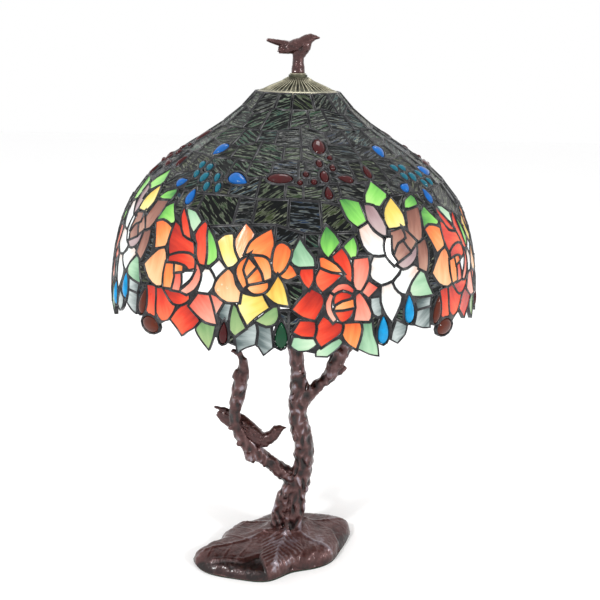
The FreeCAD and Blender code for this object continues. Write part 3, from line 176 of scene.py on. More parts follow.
glassSizes = {
    "bellProfile": [  # radius and height down the bell
        (54, 690), (79, 665), (103, 645), (133, 625), (166, 605), (190, 585), (214, 560), (231, 530),
        (243, 490), (250, 445), (252, 385),
    ],
    "facing": 0.8,              # a face this square to the bell is a pane's front
    "skew": 1.5,                # spread of the dark sheets' grain, in radians
    "scatter": 3,               # how far apart two panes are cut from the same sheet
    "refinements": 6,
    "rippleScale": (34, 150, 40),
    "darkFacet": 2.3 * mm,
    "petalFacet": 3.6 * mm,
    "darkRipple": 0.45 * mm,
    "petalRipple": 0.16 * mm,
}


def bellNormal(point):
    profile = glassSizes["bellProfile"]
    height = point.z / mm
    for (upperRadius, upperZ), (lowerRadius, lowerZ) in zip(profile, profile[1:]):
        if height > lowerZ:
            break
    across = Vector((point.x, point.y, 0)).normalized()
    return (across * (upperZ - lowerZ) + upward * (lowerRadius - upperRadius)).normalized()


def islands(bm):
    for face in bm.faces:
        face.tag = False
    groups = []
    for start in bm.faces:
        if start.tag:
            continue
        start.tag = True
        group = [start]
        for face in group:
            for edge in face.edges:
                for other in edge.link_faces:
                    if not other.tag:
                        other.tag = True
                        group.append(other)
        groups.append(group)
    return groups


def middleOf(faces):
    return sum((face.calc_center_median() for face in faces), Vector()) / len(faces)


def chance(point, salt):  # a steady number from 0 to 1 for a place
    rounded = [round(value / mm) for value in point]
    phase = rounded[0] * 12.99 + rounded[1] * 78.23 + rounded[2] * 37.72 + salt * 4.1
    return math.sin(phase) * 43758.5453 % 1


def longWay(points, level, steep):  # the angle of an outline's longer direction in its plane
    middle = sum(points, Vector()) / len(points)
    wide = tall = both = 0.0
    for point in points:
        across, up = (point - middle).dot(level), (point - middle).dot(steep)
        wide += across * across
        tall += up * up
        both += across * up
    return 0.5 * math.atan2(2 * both, wide - tall)


def layPanes(kind, name, material, facet, ripple, followShape):
    bm = mergedCopy(kind)
    bmesh.ops.dissolve_limit(bm, angle_limit=math.radians(1), verts=bm.verts, edges=bm.edges)
    grain = bm.loops.layers.uv.new("grain")
    pane = bm.loops.layers.uv.new("pane")
    front = bm.faces.layers.int.new("front")
    number = bm.faces.layers.int.new("number")
    scatter = glassSizes["scatter"]
    frames = []
    for faces in islands(bm):
        middle = middleOf(faces)
        outward = bellNormal(middle)
        tops = [face for face in faces if face.normal.dot(outward) > glassSizes["facing"]]
        normal = tops[0].normal.copy()
        level = upward.cross(normal).normalized()
        steep = normal.cross(level)
        seed = chance(middle, 1)
        if followShape:
            turn = longWay([vert.co for face in tops for vert in face.verts], level, steep)
        else:
            turn = (chance(middle, 2) - 0.5) * glassSizes["skew"]
        along = level * math.cos(turn) + steep * math.sin(turn)
        if along.z > 0:
            along = -along
        across = normal.cross(along)
        reach = [(vert.co - middle).dot(along) for face in tops for vert in face.verts]
        low, high = min(reach), max(reach)
        for face in faces:
            face[number] = len(frames)
            face[front] = int(face in tops)
            for loop in face.loops:
                offset = loop.vert.co - middle
                loop[grain].uv = (offset.dot(along) + seed * scatter,
                                  offset.dot(across) + chance(middle, 3) * scatter)
                loop[pane].uv = ((offset.dot(along) - low) / (high - low), seed)
        frames.append((middle, normal, along, across, seed))
    for _ in range(glassSizes["refinements"]):
        tops = [face for face in bm.faces if face[front]]
        bmesh.ops.triangulate(bm, faces=tops, quad_method="BEAUTY", ngon_method="BEAUTY")
        coarse = [edge for edge in bm.edges
                  if edge.calc_length() > facet and any(face[front] for face in edge.link_faces)]
        if not coarse:
            break
        bmesh.ops.subdivide_edges(bm, edges=coarse, cuts=1, use_grid_fill=True)
    alongScale, acrossScale, seedScale = glassSizes["rippleScale"]
    for vert in bm.verts:
        if all(face[front] for face in vert.link_faces):
            middle, normal, along, across, seed = frames[vert.link_faces[0][number]]
            offset = vert.co - middle
            place = Vector((offset.dot(along) * alongScale, offset.dot(across) * acrossScale,
                            seed * seedScale))
            vert.co += normal * ripple * noise.noise(place)
    for face in bm.faces:
        face.smooth = bool(face[front])
    return finished(bm, name, "shade", material, [kind])


def darkGlass():
    finish = Finish("darkRippledGlass", Roughness=0.2, Specular_IOR_Level=0.14)
    grain = finish.add("UVMap", {"uv_map": "grain"})
    seed = finish.add("SeparateXYZ", None, {0: finish.add("UVMap", {"uv_map": "pane"})}, out="Y")
    ripples = finish.noiseOn(finish.stretched(grain, 50, 300, 1), 1.0, 2.0, 0.5)
    wisps = finish.noiseOn(finish.stretched(grain, 20, 70, 1), 1.0, 2.0)
    tint = finish.ramp(seed, (0.0, ink(18, 52, 36)), (0.2, ink(46, 52, 26)), (0.4, ink(22, 38, 62)),
                       (0.55, ink(30, 64, 46)), (0.7, ink(62, 64, 44)), (0.85, ink(40, 46, 62)),
                       (1.0, ink(24, 48, 40)))
    # painted light: lit shows each pane's tint on one flank of every ripple, and the pale grey crest lines,
    # stronger under the highlight wisps, are painted highlights
    lit = finish.ramp(ripples, (0.5, (0, 0, 0, 1)), (0.6, (1, 1, 1, 1)))
    crestHighlights = finish.ramp(ripples, (0.52, (0, 0, 0, 1)), (0.57, (1, 1, 1, 1)), (0.62, (0, 0, 0, 1)))
    highlightWisps = finish.ramp(wisps, (0.5, (0, 0, 0, 1)), (0.72, (1, 1, 1, 1)))
    dark = finish.mixed(ink(5, 8, 8), tint, lit)
    colour = finish.mixed(dark, ink(150, 154, 136), crestHighlights * (highlightWisps * 0.6 + 0.22))
    return finish.feed(Base_Color=colour, Normal=finish.bump(ripples, 1.0, 1.6 * mm))


def opalGlass(name, deep, main, pale, streak=0.5):
    finish = Finish(name, Roughness=0.2, Specular_IOR_Level=0.35)
    grain = finish.add("UVMap", {"uv_map": "grain"})
    paneMap = finish.add("UVMap", {"uv_map": "pane"})
    reach = finish.add("SeparateXYZ", None, {0: paneMap}, out="X")
    seed = finish.add("SeparateXYZ", None, {0: paneMap}, out="Y")
    streaks = finish.noiseOn(finish.stretched(grain, 26, 150, 1), 1.0, 4.0, 0.55)
    clouds = finish.noiseOn(finish.stretched(grain, 22, 40, 1), 1.0, 2.0)
    tone = reach * 0.5 + streaks * streak + clouds * 0.45 + seed * 0.3 - 0.42
    colour = finish.ramp(tone, (0.08, deep), (0.45, main), (0.95, pale))
    return finish.feed(Base_Color=colour, Normal=finish.bump(streaks, 0.25, 0.8 * mm))


opalColours = {  # deep, main and pale tone of each sheet of glass
    "petals_orange": (ink(212, 80, 34), ink(232, 130, 66), ink(240, 184, 130)),
    "petals_red": (ink(140, 18, 12), ink(206, 52, 28), ink(226, 110, 72)),
    "petals_pink": (ink(200, 62, 46), ink(222, 128, 108), ink(236, 186, 166)),
    "petals_peach": (ink(206, 112, 62), ink(226, 160, 110), ink(240, 206, 160)),
    "petals_yellow": (ink(206, 150, 56), ink(220, 196, 96), ink(236, 226, 160)),
    "petals_white": (ink(206, 176, 160), ink(222, 228, 226), ink(242, 246, 244)),
    "petals_lilac": (ink(120, 88, 92), ink(164, 140, 142), ink(200, 184, 178)),
    "petals_brown": (ink(92, 50, 42), ink(140, 94, 80), ink(190, 150, 130)),
    "leaves_green": (ink(54, 120, 54), ink(118, 190, 84), ink(176, 222, 130)),
    "leaves_mint": (ink(96, 140, 108), ink(152, 190, 156), ink(206, 224, 196)),
    "leaves_olive": (ink(66, 92, 58), ink(116, 150, 98), ink(166, 186, 130)),
    "ripple_border": (ink(34, 44, 44), ink(84, 98, 98), ink(176, 186, 184)),
}
layPanes("glass_background", "rippledPanes", darkGlass(), glassSizes["darkFacet"],
         glassSizes["darkRipple"], False)
for kind, (deep, main, pale) in opalColours.items():
    rippled = kind == "ripple_border"
    sheet = opalGlass(kind + "Sheet", deep, main, pale, 0.9 if rippled else 0.5)
    layPanes(kind, kind + "Panes", sheet, glassSizes["petalFacet"], glassSizes["petalRipple"], not rippled)
say("panes laid")

jewelColours = {
    "jewels_blue": ink(2, 104, 190),
    "jewels_teal": ink(12, 110, 132),
    "jewels_cyan": ink(0, 160, 224),
    "jewels_red": ink(72, 3, 7),
    "jewels_green": ink(8, 74, 44),
    "jewels_amber": ink(96, 34, 10),
}


def castJewels(kind, colour):
    finish = Finish(kind + "Cast", Roughness=0.05, Specular_IOR_Level=0.2)
    swirl = finish.noiseOn(finish.objectPlace(), 120, 2.0)
    shade = finish.mixed(colour, finish.mixed(colour, (0.02, 0.02, 0.02, 1), 0.65), swirl)
    bm = mergedCopy(kind)
    bmesh.ops.dissolve_limit(bm, angle_limit=math.radians(1), verts=bm.verts, edges=bm.edges)
    smoothFaces(bm)
    piece = finished(bm, kind + "Cabochons", "shade", finish.feed(Base_Color=shade), [kind])
    rounding = piece.modifiers.new("rounding", "SUBSURF")
    rounding.levels = rounding.render_levels = 2


for kind, colour in jewelColours.items():
    castJewels(kind, colour)
say("jewels set")

beadSizes = {
    "overlap": 0.3 * mm,        # each half of a seam runs this far past the line to its neighbour
    "low": -0.45 * mm,          # inner and outer crest, from the foil's inner face
    "high": 4.8 * mm,
    "mitre": 4,                 # longest mitre, in widths of the step
    "sharpest": 0.4,            # least spread between two sides that a widened corner allows for
    "steps": [(0.62 * mm, -0.1 * mm), (0.58 * mm, -0.45 * mm), (0.5 * mm, -0.72 * mm)],
}


def ringsOf(tops):  # the closed outlines of a set of faces, as point lists
    inside = set(tops)
    border = {}
    for face in tops:
        for loop in face.loops:
            if sum(other in inside for other in loop.edge.link_faces) == 1:
                border[loop.vert] = loop.link_loop_next.vert
    rings = []
    while border:
        start = next(iter(border))
        ring = []
        while start in border:
            ring.append(start.co.copy())
            start = border.pop(start)
        rings.append(ring)
    return rings


def sweptArea(ring, normal):
    return sum(((a - ring[0]).cross(b - ring[0]) for a, b in zip(ring, ring[1:])), Vector()).dot(normal)


def widened(ring, normal, margin):  # the outline moved out by a margin in its own plane
    sides = [(after - here).normalized() for here, after in zip(ring, ring[1:] + ring[:1])]
    outs = [side.cross(normal) for side in sides]
    moved = []
    for point, before, after in zip(ring, outs[-1:] + outs[:-1], outs):
        moved.append(point + (before + after) * (margin / max(1 + before.dot(after), beadSizes["sharpest"])))
    return moved


def solderMetal():
    finish = Finish("darkSolder", Metallic=0.85, Coat_Weight=0.15, Coat_Roughness=0.2)
    place = finish.objectPlace()
    stain = finish.noiseOn(place, 60, 4.0, 0.6)
    colour = finish.ramp(stain, (0.3, ink(30, 30, 32)), (0.55, ink(56, 56, 58)), (0.8, ink(104, 104, 102)))
    return finish.feed(Base_Color=colour, Roughness=stain * 0.3 + 0.24,
                       Normal=finish.bump(finish.noiseOn(place, 350), 0.3, 0.4 * mm))


def solderBeads(node, name, material):
    source = mergedCopy(node)
    bm = bmesh.new()
    blob = bm.faces.layers.int.new("blob")
    for faces in islands(source):
        outward = bellNormal(middleOf(faces))
        tops = [face for face in faces if face.normal.dot(outward) > glassSizes["facing"]]
        normal = tops[0].normal.copy()
        rings = ringsOf(tops)
        outer = max(rings, key=lambda ring: sweptArea(ring, normal))
        lowest = min((vert.co - outer[0]).dot(normal) for face in faces for vert in face.verts)
        outline = widened(outer, normal, beadSizes["overlap"])
        drop = normal * (lowest + beadSizes["low"])
        face = bm.faces.new([bm.verts.new(point + drop) for point in outline])
        face[blob] = int(len(rings) == 1)
    source.free()
    bm.normal_update()
    grown = bmesh.ops.extrude_face_region(bm, geom=list(bm.faces), use_keep_orig=True)["geom"]
    crowns = [part for part in grown if isinstance(part, bmesh.types.BMFace) and len(part.verts) > 2]
    for face in crowns:
        if face.normal.dot(bellNormal(face.calc_center_median())) > glassSizes["facing"]:
            shift = face.normal * (beadSizes["high"] - beadSizes["low"])
            for vert in face.verts:
                vert.co += shift
    bmesh.ops.recalc_face_normals(bm, faces=bm.faces)
    bm.normal_update()
    sides = [face for face in bm.faces
             if abs(face.normal.dot(bellNormal(face.calc_center_median()))) > glassSizes["facing"]]
    for width, rise in beadSizes["steps"]:
        starts = [[vert.co.copy() for vert in face.verts] for face in sides]
        bmesh.ops.inset_individual(bm, faces=sides, thickness=width, depth=rise, use_even_offset=True)
        for face, corners in zip(sides, starts):
            for vert, corner in zip(face.verts, corners):  # a sharp corner's mitre is held short
                move = vert.co - corner
                vert.co = corner + move * min(1, beadSizes["mitre"] * width / max(move.length, 1e-9))
        sides = [face for face in sides if not face[blob]]
    bmesh.ops.delete(bm, geom=sides, context="FACES_ONLY")
    smoothFaces(bm)
    return finished(bm, name, "shade", material, [node])


solder = solderMetal()
solderBeads("seams_upper", "upperSolder", solder)
solderBeads("seams_lower", "lowerSolder", solder)
say("seams soldered")


def vine(bm, stations, sides=12):  # a limb through round sections: centre, radius in mm, share of depth left
    centres = [Vector(station[:3]) * mm for station in stations]
    places = []
    for step, centre in enumerate(centres):
        way = centres[min(step + 1, len(centres) - 1)] - centres[max(step - 1, 0)]
        side = Vector((0, 1, 0)).cross(way).normalized()
        turned = Matrix((side, way.cross(side).normalized(), way.normalized())).transposed().to_4x4()
        flat = Matrix.Diagonal((1, stations[step][4] if len(stations[step]) > 4 else 1, 1, 1))
        places.append(Matrix.Translation(centre) @ flat @ turned @ Matrix.Scale(stations[step][3] * mm, 4))
    rim = bmesh.ops.create_circle(bm, cap_ends=True, segments=sides, radius=1, matrix=places[0])["verts"]
    face = rim[0].link_faces[0]
    for before, after in zip(places, places[1:]):
        grown = bmesh.ops.extrude_face_region(bm, geom=[face])["geom"]
        face = [part for part in grown if isinstance(part, bmesh.types.BMFace)][0]
        bmesh.ops.transform(bm, matrix=after @ before.inverted(), verts=face.verts)


def bead(bm, centre, radius, stretch=(1, 1, 1)):  # an egg-shaped lump, in mm
    place = Matrix.Translation(Vector(centre) * mm) @ Matrix.Diagonal((*stretch, 1))
    bmesh.ops.create_icosphere(bm, subdivisions=2, radius=radius * mm, matrix=place)


def soften(bm, factor):
    bmesh.ops.smooth_vert(bm, verts=bm.verts, factor=factor,
                          use_axis_x=True, use_axis_y=True, use_axis_z=True)


def cast(bm, voxel, rounds):  # one skin round everything, softened as a cast from wax is
    mesh = bpy.data.meshes.new("wax")
    bm.to_mesh(mesh)
    bm.free()
    wax = bpy.data.objects.new("wax", mesh)
    bpy.context.collection.objects.link(wax)
    skin = wax.modifiers.new("skin", "REMESH")
    skin.mode = "VOXEL"
    skin.voxel_size = voxel
    result = bpy.data.meshes.new_from_object(wax.evaluated_get(bpy.context.evaluated_depsgraph_get()))
    bpy.data.objects.remove(wax)
    bm = bmesh.new()
    bm.from_mesh(result)
    for _ in range(rounds):
        soften(bm, 0.5)
    smoothFaces(bm)
    bm.normal_update()
    return bm


def raiseSkin(bm, height):  # moves each point along its own normal by height(point) and keeps it as relief
    relief = bm.verts.layers.float.get("relief") or bm.verts.layers.float.new("relief")
    moves = [(vert, vert.normal.copy(), height(vert.co)) for vert in bm.verts]
    for vert, normal, rise in moves:
        vert.co += normal * rise
        vert[relief] += rise / (2 * mm)


def bronze(name):
    finish = Finish(name, Metallic=0.5, Coat_Weight=0.35, Coat_Roughness=0.14)
    place = finish.objectPlace()
    patches = finish.noiseOn(place, 28, 5.0, 0.6)
    fine = finish.noiseOn(place, 240, 3.0, 0.6)
    relief = finish.add("Attribute", {"attribute_name": "relief"}, out="Fac")
    # painted shade and highlight: relief, the skin's raised height, darkens the hollows and lightens the
    # ridges over the patina's own dark hollows; the bluish grey top stop is a painted highlight
    tone = relief * 0.55 + patches * 0.7 + fine * 0.25 + 0.02
    colour = finish.ramp(tone, (0.2, ink(24, 11, 11)), (0.5, ink(68, 36, 34)), (0.72, ink(92, 62, 60)),
                         (0.95, ink(142, 132, 140)))
    return finish.feed(Base_Color=colour, Roughness=patches * 0.25 + 0.2,
                       Normal=finish.bump(fine, 0.6, 1.2 * mm))


patinaAndPaintedLight = bronze("reddishBronze")

barkSizes = {"voxel": 1.2 * mm, "ridge": 1.7 * mm, "knob": 2.2 * mm}


def bark(point):
    bent = point + Vector((noise.noise(point * 40), noise.noise(point * 40 + upward), 0)) * 6 * mm
    ridged = abs(noise.noise(Vector((bent.x * 120, bent.y * 120, bent.z * 42)))) * 2
    knobs = noise.noise(Vector((bent.x * 110, bent.y * 110, bent.z * 85)))
    fine = noise.noise(point * 380)
    return barkSizes["ridge"] * (0.45 - ridged) + barkSizes["knob"] * knobs + fine * 0.25 * mm


trunkParts = {
    "limbs": [
        [(-1, 3, 20, 20), (-1, 2, 32, 20), (0, 1, 47, 19.5), (3.5, 0, 62, 19), (6, 0, 77, 18.5),
         (9.5, 0, 92, 18.5), (13.5, 0, 107, 18.4), (18.5, 0, 122, 16), (21, 0, 136, 15), (21.3, 0, 150, 15.4),
         (20.8, 0, 165, 15.2),
         (18.2, 0, 179, 15.3), (15, 0, 193, 15), (11.8, 0, 207, 14.4), (10.2, 0, 220, 14), (11, 0, 234, 14.4),
         (12.4, 0, 248, 14.8), (12.6, 0, 261, 14), (10.5, 0, 276, 12), (8, 0, 298, 10.6), (5, 0, 322, 11),
         (1.5, 0, 346, 11), (0, 0, 372, 11.4)],
        [(2, -6, 104, 11), (-8, -9, 78, 12.5), (-14, -10, 50, 12.5), (-17, -12, 26, 13)],
        [(16, -5, 110, 13), (13, -9, 80, 13), (10, -12, 50, 13), (10, -13, 22, 13.5)],
        [(-4, 10, 48, 13), (-6, 13, 26, 14)],
        [(14, 0, 98, 14), (-4, 0, 115, 12.6), (-22, 0, 129, 11.6)],
        [(12, 0, 232, 13), (22, 0, 250, 11.4), (34, 0, 261, 9.4)],
        [(0, -26, 22, 5), (-1, -23, 34, 5.5), (-2, -19, 46, 4), (-2, -17, 58, 2)],
    ],
    "burls": [(-10, -22, 54, 4.2), (-7, -21, 65, 3.6), (-16, -23, 43, 4.4), (-12, -24, 34, 4),
              (25, -15, 100, 4.4),
              (28, -13, 142, 4), (7, -13, 184, 4.2), (20, -11, 218, 4.6),
              (2, -12, 252, 4), (18, -11, 286, 3.6),
              (4, -15, 118, 4), (-6, -20, 88, 4)],
}


def makeTrunk():
    bm = bmesh.new()
    for limb in trunkParts["limbs"]:
        vine(bm, limb, 20)
    for x, y, z, radius in trunkParts["burls"]:
        bead(bm, (x, y, z), radius, (1, 0.8, 1.3))
    bm = cast(bm, barkSizes["voxel"], 3)
    raiseSkin(bm, bark)
    return finished(bm, "trunkBark", "base", patinaAndPaintedLight, ["trunk_casting"])


branchParts = {
    "left_branch": {
        "limbs": [
            [(4, 0, 108, 12), (-16, 0, 125, 11.6), (-34, 0, 138, 10.8),
             (-50, 0, 150, 11), (-64, 0, 164, 11.4),
             (-76, 0, 182, 10.8), (-84, 0, 200, 9), (-86, 0, 220, 8.8),
             (-82, 0, 238, 10), (-78.5, 0, 258, 11),
             (-75, 0, 277, 11.4), (-71.5, 0, 292, 8.2), (-72.5, 0, 305, 5.8), (-79, 0, 315.5, 4.6),
             (-90, 0, 320.5, 3.6)],
            [(-64, -6, 156, 8), (-61, -8, 146, 7), (-54, -7, 143, 6)],
            [(-80, -2, 268, 5), (-85, -3, 278, 4.4), (-82, -3, 290, 2.6)],
        ],
        "burls": [(-62, -10, 148, 5), (-46, -9, 149, 4), (-78, -9, 172, 4.6), (-90, -6, 196, 3.6),
                  (-74, -10, 274, 3.6), (-84, -8, 246, 3.6), (-38, -8, 134, 4), (-68, -4, 286, 3.4)],
        "bark": 0.8,
    },
    "right_branch": {
        "limbs": [
            [(10, 0, 236, 11), (31, 0, 258, 9.8), (45, 0, 270, 8.8), (56, 0, 281, 9.6), (62, 0, 294, 11.4),
             (66, 0, 308, 12), (74, 0, 322, 11), (87, 0, 338, 8.4), (101, 0, 356, 5.6)],
            [(60, 0, 288, 8), (72, -2, 291, 6), (80, -2, 299, 3)],
        ],
        "burls": [(57, -8, 284, 4.4), (70, -8, 302, 4.6), (58, -8, 304, 4), (36, -7, 260, 4),
                  (80, -6, 318, 4)],
        "bark": 0.9,
    },
}


def makeBranch(node, name):
    parts = branchParts[node]
    bm = bmesh.new()
    for limb in parts["limbs"]:
        vine(bm, limb, 16)
    for x, y, z, radius in parts["burls"]:
        bead(bm, (x, y, z), radius, (1.2, 0.9, 1.1))
    bm = cast(bm, barkSizes["voxel"], 3)
    raiseSkin(bm, lambda point: bark(point) * parts["bark"])
    return finished(bm, name, "base", patinaAndPaintedLight, [node])


makeTrunk()
makeBranch("left_branch", "leftBranchBark")
makeBranch("right_branch", "rightBranchBark")
say("trunk and branches cast")

birdParts = {
    "finial_bird": {
        "limbs": [
            [(-26, 0, 744, 4.2, 1.7), (-15, 0, 747, 7.2, 1.15), (-4, 0, 749.5, 9.6, 0.95),
             (5, 0, 753, 9, 0.9),
             (12, 0, 758.3, 7.4, 0.88), (17, 0, 761, 5.6, 0.88), (22, 0, 761.2, 3.3, 0.85),
             (28, 0, 761, 0.9, 0.8)],
            [(-8, 0, 752, 4.4, 1.3), (-22, 0, 753, 4.6, 1.15), (-36, 0, 756.2, 3, 1.5),
             (-42, 0, 757.4, 2, 1.6)],
            [(0, 0, 716, 9.2), (0, 0, 724, 8.5), (0, 0, 732, 7.5), (0, 0, 739, 7.6), (0, 0, 747, 8.6)],
            [(11, 0, 757, 7, 0.9), (8, 0, 750, 8.6, 0.95), (3.5, 0, 742, 7.6), (0, 0, 736, 7)],
        ],
        "feathers": [  # root, tip and radius of each long feather on the near side
            ((6, -8.2, 754), (-24, -7, 748), 1.3), ((6, -8.8, 751.5), (-27, -7.4, 745.6), 1.3),
            ((4, -9, 749), (-28, -7.4, 743), 1.3), ((1, -8.6, 746.6), (-26, -7, 740.8), 1.3),
            ((-12, -3.5, 755), (-42, -2.6, 758.6), 1.1), ((-12, -4.5, 752.6), (-41, -3.4, 756.4), 1.1),
        ],
        "eyes": (17.6, 4.5, 762.6, 1.0),
        "middle": 0,
        "hiddenFrom": -math.inf,
        "voxel": 0.6 * mm,
    },
    "perched_bird": {
        "limbs": [
            [(-112, 15, 212, 6, 0.5), (-103, 14, 206, 11, 0.4), (-92, 14, 202, 15, 0.42),
             (-78, 12, 196, 14.6, 0.62), (-64, 6, 187, 14, 0.85), (-51, 2, 177, 12.6, 0.95),
             (-41, 2, 170.5, 10.6, 1), (-33, 2, 167, 6.5, 1)],
            [(-41, 2, 174, 9), (-33, 2, 176.5, 10.6, 0.95), (-26, 2, 182, 9, 0.95),
             (-20.5, 2, 190.5, 8.6, 0.95), (-14.5, 2, 193.4, 5.4, 0.9),
             (-11, 2, 194, 2.4, 0.9), (-6.4, 2, 194.4, 0.9)],
        ],
        "feathers": [
            ((-44, -8, 184), (-74, -3, 206), 1.7), ((-43, -9.4, 180), (-76, -4, 201), 1.7),
            ((-44, -9.6, 176), (-76, -5, 195.5), 1.7), ((-47, -9, 171.6), (-74, -5, 189), 1.7),
            ((-88, 11, 212), (-118, 14, 221.5), 2.6), ((-90, 10, 207), (-113, 13, 213), 2.8),
            ((-90, 10, 201), (-108, 13, 204), 2.8), ((-88, 10, 195), (-101, 13, 195.5), 2.8),
            ((-84, 10, 190), (-94, 13, 188.5), 2.6), ((-88, 14, 213), (-117, 15, 220.5), 3.4),
        ],
        "eyes": (-18.6, 6.6, 192.6, 1.2),
        "middle": 2,
        "hiddenFrom": -80,  # beyond this the far side's feathers lie behind the branch
        "voxel": 0.8 * mm,
    },
}


def plumage(point):
    swept = Vector((point.x * 60 + point.z * 200, point.y * 90, point.z * 60 - point.x * 130))
    barbs = abs(noise.noise(swept)) * 2
    return (0.45 - barbs) * 0.45 * mm


def makeBird(node, name, body):
    parts = birdParts[node]
    bm = bmesh.new()
    for limb in parts["limbs"]:
        vine(bm, limb, 20)
    for (x, y, z), tip, radius in parts["feathers"]:
        for side in (1, -1):
            start = (x, parts["middle"] + side * (y - parts["middle"]), z)
            end = (tip[0], parts["middle"] + side * (tip[1] - parts["middle"]), tip[2])
            if side < 0 and x < parts["hiddenFrom"]:
                continue
            between = [(a + b) / 2 for a, b in zip(start, end)]
            vine(bm, [(*start, radius * 0.6), (*between, radius * 1.2), (*end, radius * 0.6)], 8)
    bm = cast(bm, parts["voxel"], 3)
    raiseSkin(bm, plumage)
    x, y, z, radius = parts["eyes"]
    for side in (-1, 1):
        bead(bm, (x, parts["middle"] + side * y, z), radius)
    smoothFaces(bm)
    return finished(bm, name, body, patinaAndPaintedLight, [node])


makeBird("finial_bird", "finialBirdCast", "finial")
makeBird("perched_bird", "perchedBirdCast", "base")
say("birds cast")

footSizes = {
    "voxel": 1.4 * mm,
    # root x and y, heading in degrees, length, half width, lift, veins a side, height of the veins
    "leaves": [
        (0, 4, 100, 50, 56, 0.3, 3, 0.7),
        (-2, 2, 172, 108, 38, 0.9, 4, 0.7),
        (4, 4, 14, 106, 46, 1.2, 3, 0.6),
        (-6, -14, 204, 148, 48, 1.9, 4, 1.0),
        (6, -18, 326, 98, 44, 2.6, 2, 0.5),
        (-4, -26, 259, 92, 33, 3.4, 9, 2.0),
    ],
    "veinWide": 1.5,
    "notches": [  # x and y of each dent between two leaf tips, its depth and its width
        (-109, -26, 6, 7), (-128, -52, 4, 6), (-96, 0, 4, 6), (10, -92, 7, 8), (42, -74, 4, 7),
        (82, -38, 4, 6), (-60, 22, 4, 8), (-100, -102, 3, 7), (60, 48, 4, 8),
    ],
    "crownRadius": 24,
    "plainBelow": 3,
    "plainInside": 20,
    "wander": 5,
    "rim": 1.06,        # where a leaf ends, as a share of its half width
    "midribWide": 2.2,
    "midribTall": 1.5,
    "swell": 2.4,
    "veinPitch": 1.15,
    "curl": 1.3,
}


def leafHeight(x, y):  # height of the leaves above the plain foot, in mm
    bent = Vector((x, y, 0)) * 0.03
    x += footSizes["wander"] * noise.noise(bent)
    y += footSizes["wander"] * noise.noise(bent + upward)
    best = 0.0
    for rootX, rootY, heading, length, halfWide, lift, veins, tall in footSizes["leaves"]:
        turn = math.radians(heading)
        out = (x - rootX) * math.cos(turn) + (y - rootY) * math.sin(turn)
        aside = -(x - rootX) * math.sin(turn) + (y - rootY) * math.cos(turn)
        share = out / length
        if not 0 < share < 1.05:
            continue
        wide = halfWide * max(math.sin(math.pi * min(share, 1) ** 0.7), 0.02) ** 0.6
        wide *= 1 + 0.06 * math.sin(share * 19 + heading)
        beside = abs(aside) / wide
        if beside > footSizes["rim"]:
            continue
        edge = min(1.0, (footSizes["rim"] - beside) * 6)
        midrib = math.exp(-(aside / footSizes["midribWide"]) ** 2)
        phase = (share - abs(aside) / length * 0.9) * veins * footSizes["veinPitch"] + 0.3 * (aside > 0)
        nearVein = abs(phase - round(phase)) * length / (veins * footSizes["veinPitch"])
        vein = math.exp(-(nearVein / footSizes["veinWide"]) ** 2) * (1 - beside * 0.5)
        curl = footSizes["curl"] * max(0, beside - 0.8) / 0.2
        swell = footSizes["swell"] * (1 - beside * beside)
        best = max(best, edge * (lift + swell + footSizes["midribTall"] * midrib + tall * vein + curl))
    return best


def hammered(point):  # fine unevenness of the cast foot, none on its underside
    if point.z <= footSizes["plainBelow"] * mm:
        return 0.0
    return (0.5 * noise.noise(point * 90) + 0.35 * noise.noise(point * 260)) * mm


def makeFoot():
    bm = cast(mergedCopy("foot_casting"), footSizes["voxel"], 2)
    relief = bm.verts.layers.float.new("relief")
    for vert in bm.verts:
        x, y, z = vert.co / mm
        if z < footSizes["plainBelow"] or math.hypot(x, y) < footSizes["plainInside"]:
            continue
        for dentX, dentY, deep, wide in footSizes["notches"]:
            dent = deep * math.exp(-((x - dentX) ** 2 + (y - dentY) ** 2) / wide ** 2)
            vert.co -= Vector((x, y, 0)).normalized() * dent * mm
        if vert.normal.z > 0.05:
            fade = min(1, max(0, (math.hypot(x, y) - footSizes["crownRadius"] + 8) / 10))
            rise = leafHeight(x, y) * fade * min(1, vert.normal.z * 2.2)
            vert.co.z += (rise - 1.2) * mm
            # relief: raised veins and leaves come out lighter and dips darker in the bronze, painted shade
            # and highlight
            vert[relief] = (rise - 3) * 0.16
    soften(bm, 0.3)
    bm.normal_update()
    raiseSkin(bm, hammered)
    return finished(bm, "leafyFoot", "base", patinaAndPaintedLight, ["foot_casting"])


makeFoot()
say("foot cast")

capSizes = {
    "ribs": 48,
    "ribRadius": 0.75,
    "slope": [(49.5, 693.2), (37.4, 699.2), (21.8, 705.6), (13.6, 710.6)],  # radius and height along a rib
    "rim": [(49.4, 693.9), (50, 694.7), (53.4, 692.6), (58.2, 688.6), (58.4, 687.2), (57, 687),
            (52.3, 690.6)],
    "bead": [(10.1, 714.4), (11, 714.7), (11, 715.7), (10.1, 716)],
    "rounding": 0.4 * mm,
}


def agedBrass(name, low, high, shine):
    finish = Finish(name, Metallic=0.8)
    stain = finish.noiseOn(finish.objectPlace(), 70, 4.0, 0.6)
    colour = finish.ramp(stain, (0.35, low), (0.7, high))
    return finish.feed(Base_Color=colour, Roughness=stain * 0.3 + shine)


capMetal = agedBrass("dullCapMetal", ink(52, 54, 42), ink(104, 102, 84), 0.3)
# a lighter copy of the cap's own metal: the pale ribs, rim band, bead and finial washer are painted highlight
paleCapHighlight = agedBrass("paleRimHighlight", ink(128, 126, 108), ink(178, 172, 150), 0.24)


def makeCapRibs():
    bm = bmesh.new()
    for rib in range(capSizes["ribs"]):
        turn = math.tau * (rib + 0.5) / capSizes["ribs"]
        stations = [(radius * math.cos(turn), radius * math.sin(turn), height, capSizes["ribRadius"])
                    for radius, height in capSizes["slope"]]
        vine(bm, stations, 6)
    smoothFaces(bm)
    return finished(bm, "capRibs", "shade", paleCapHighlight)


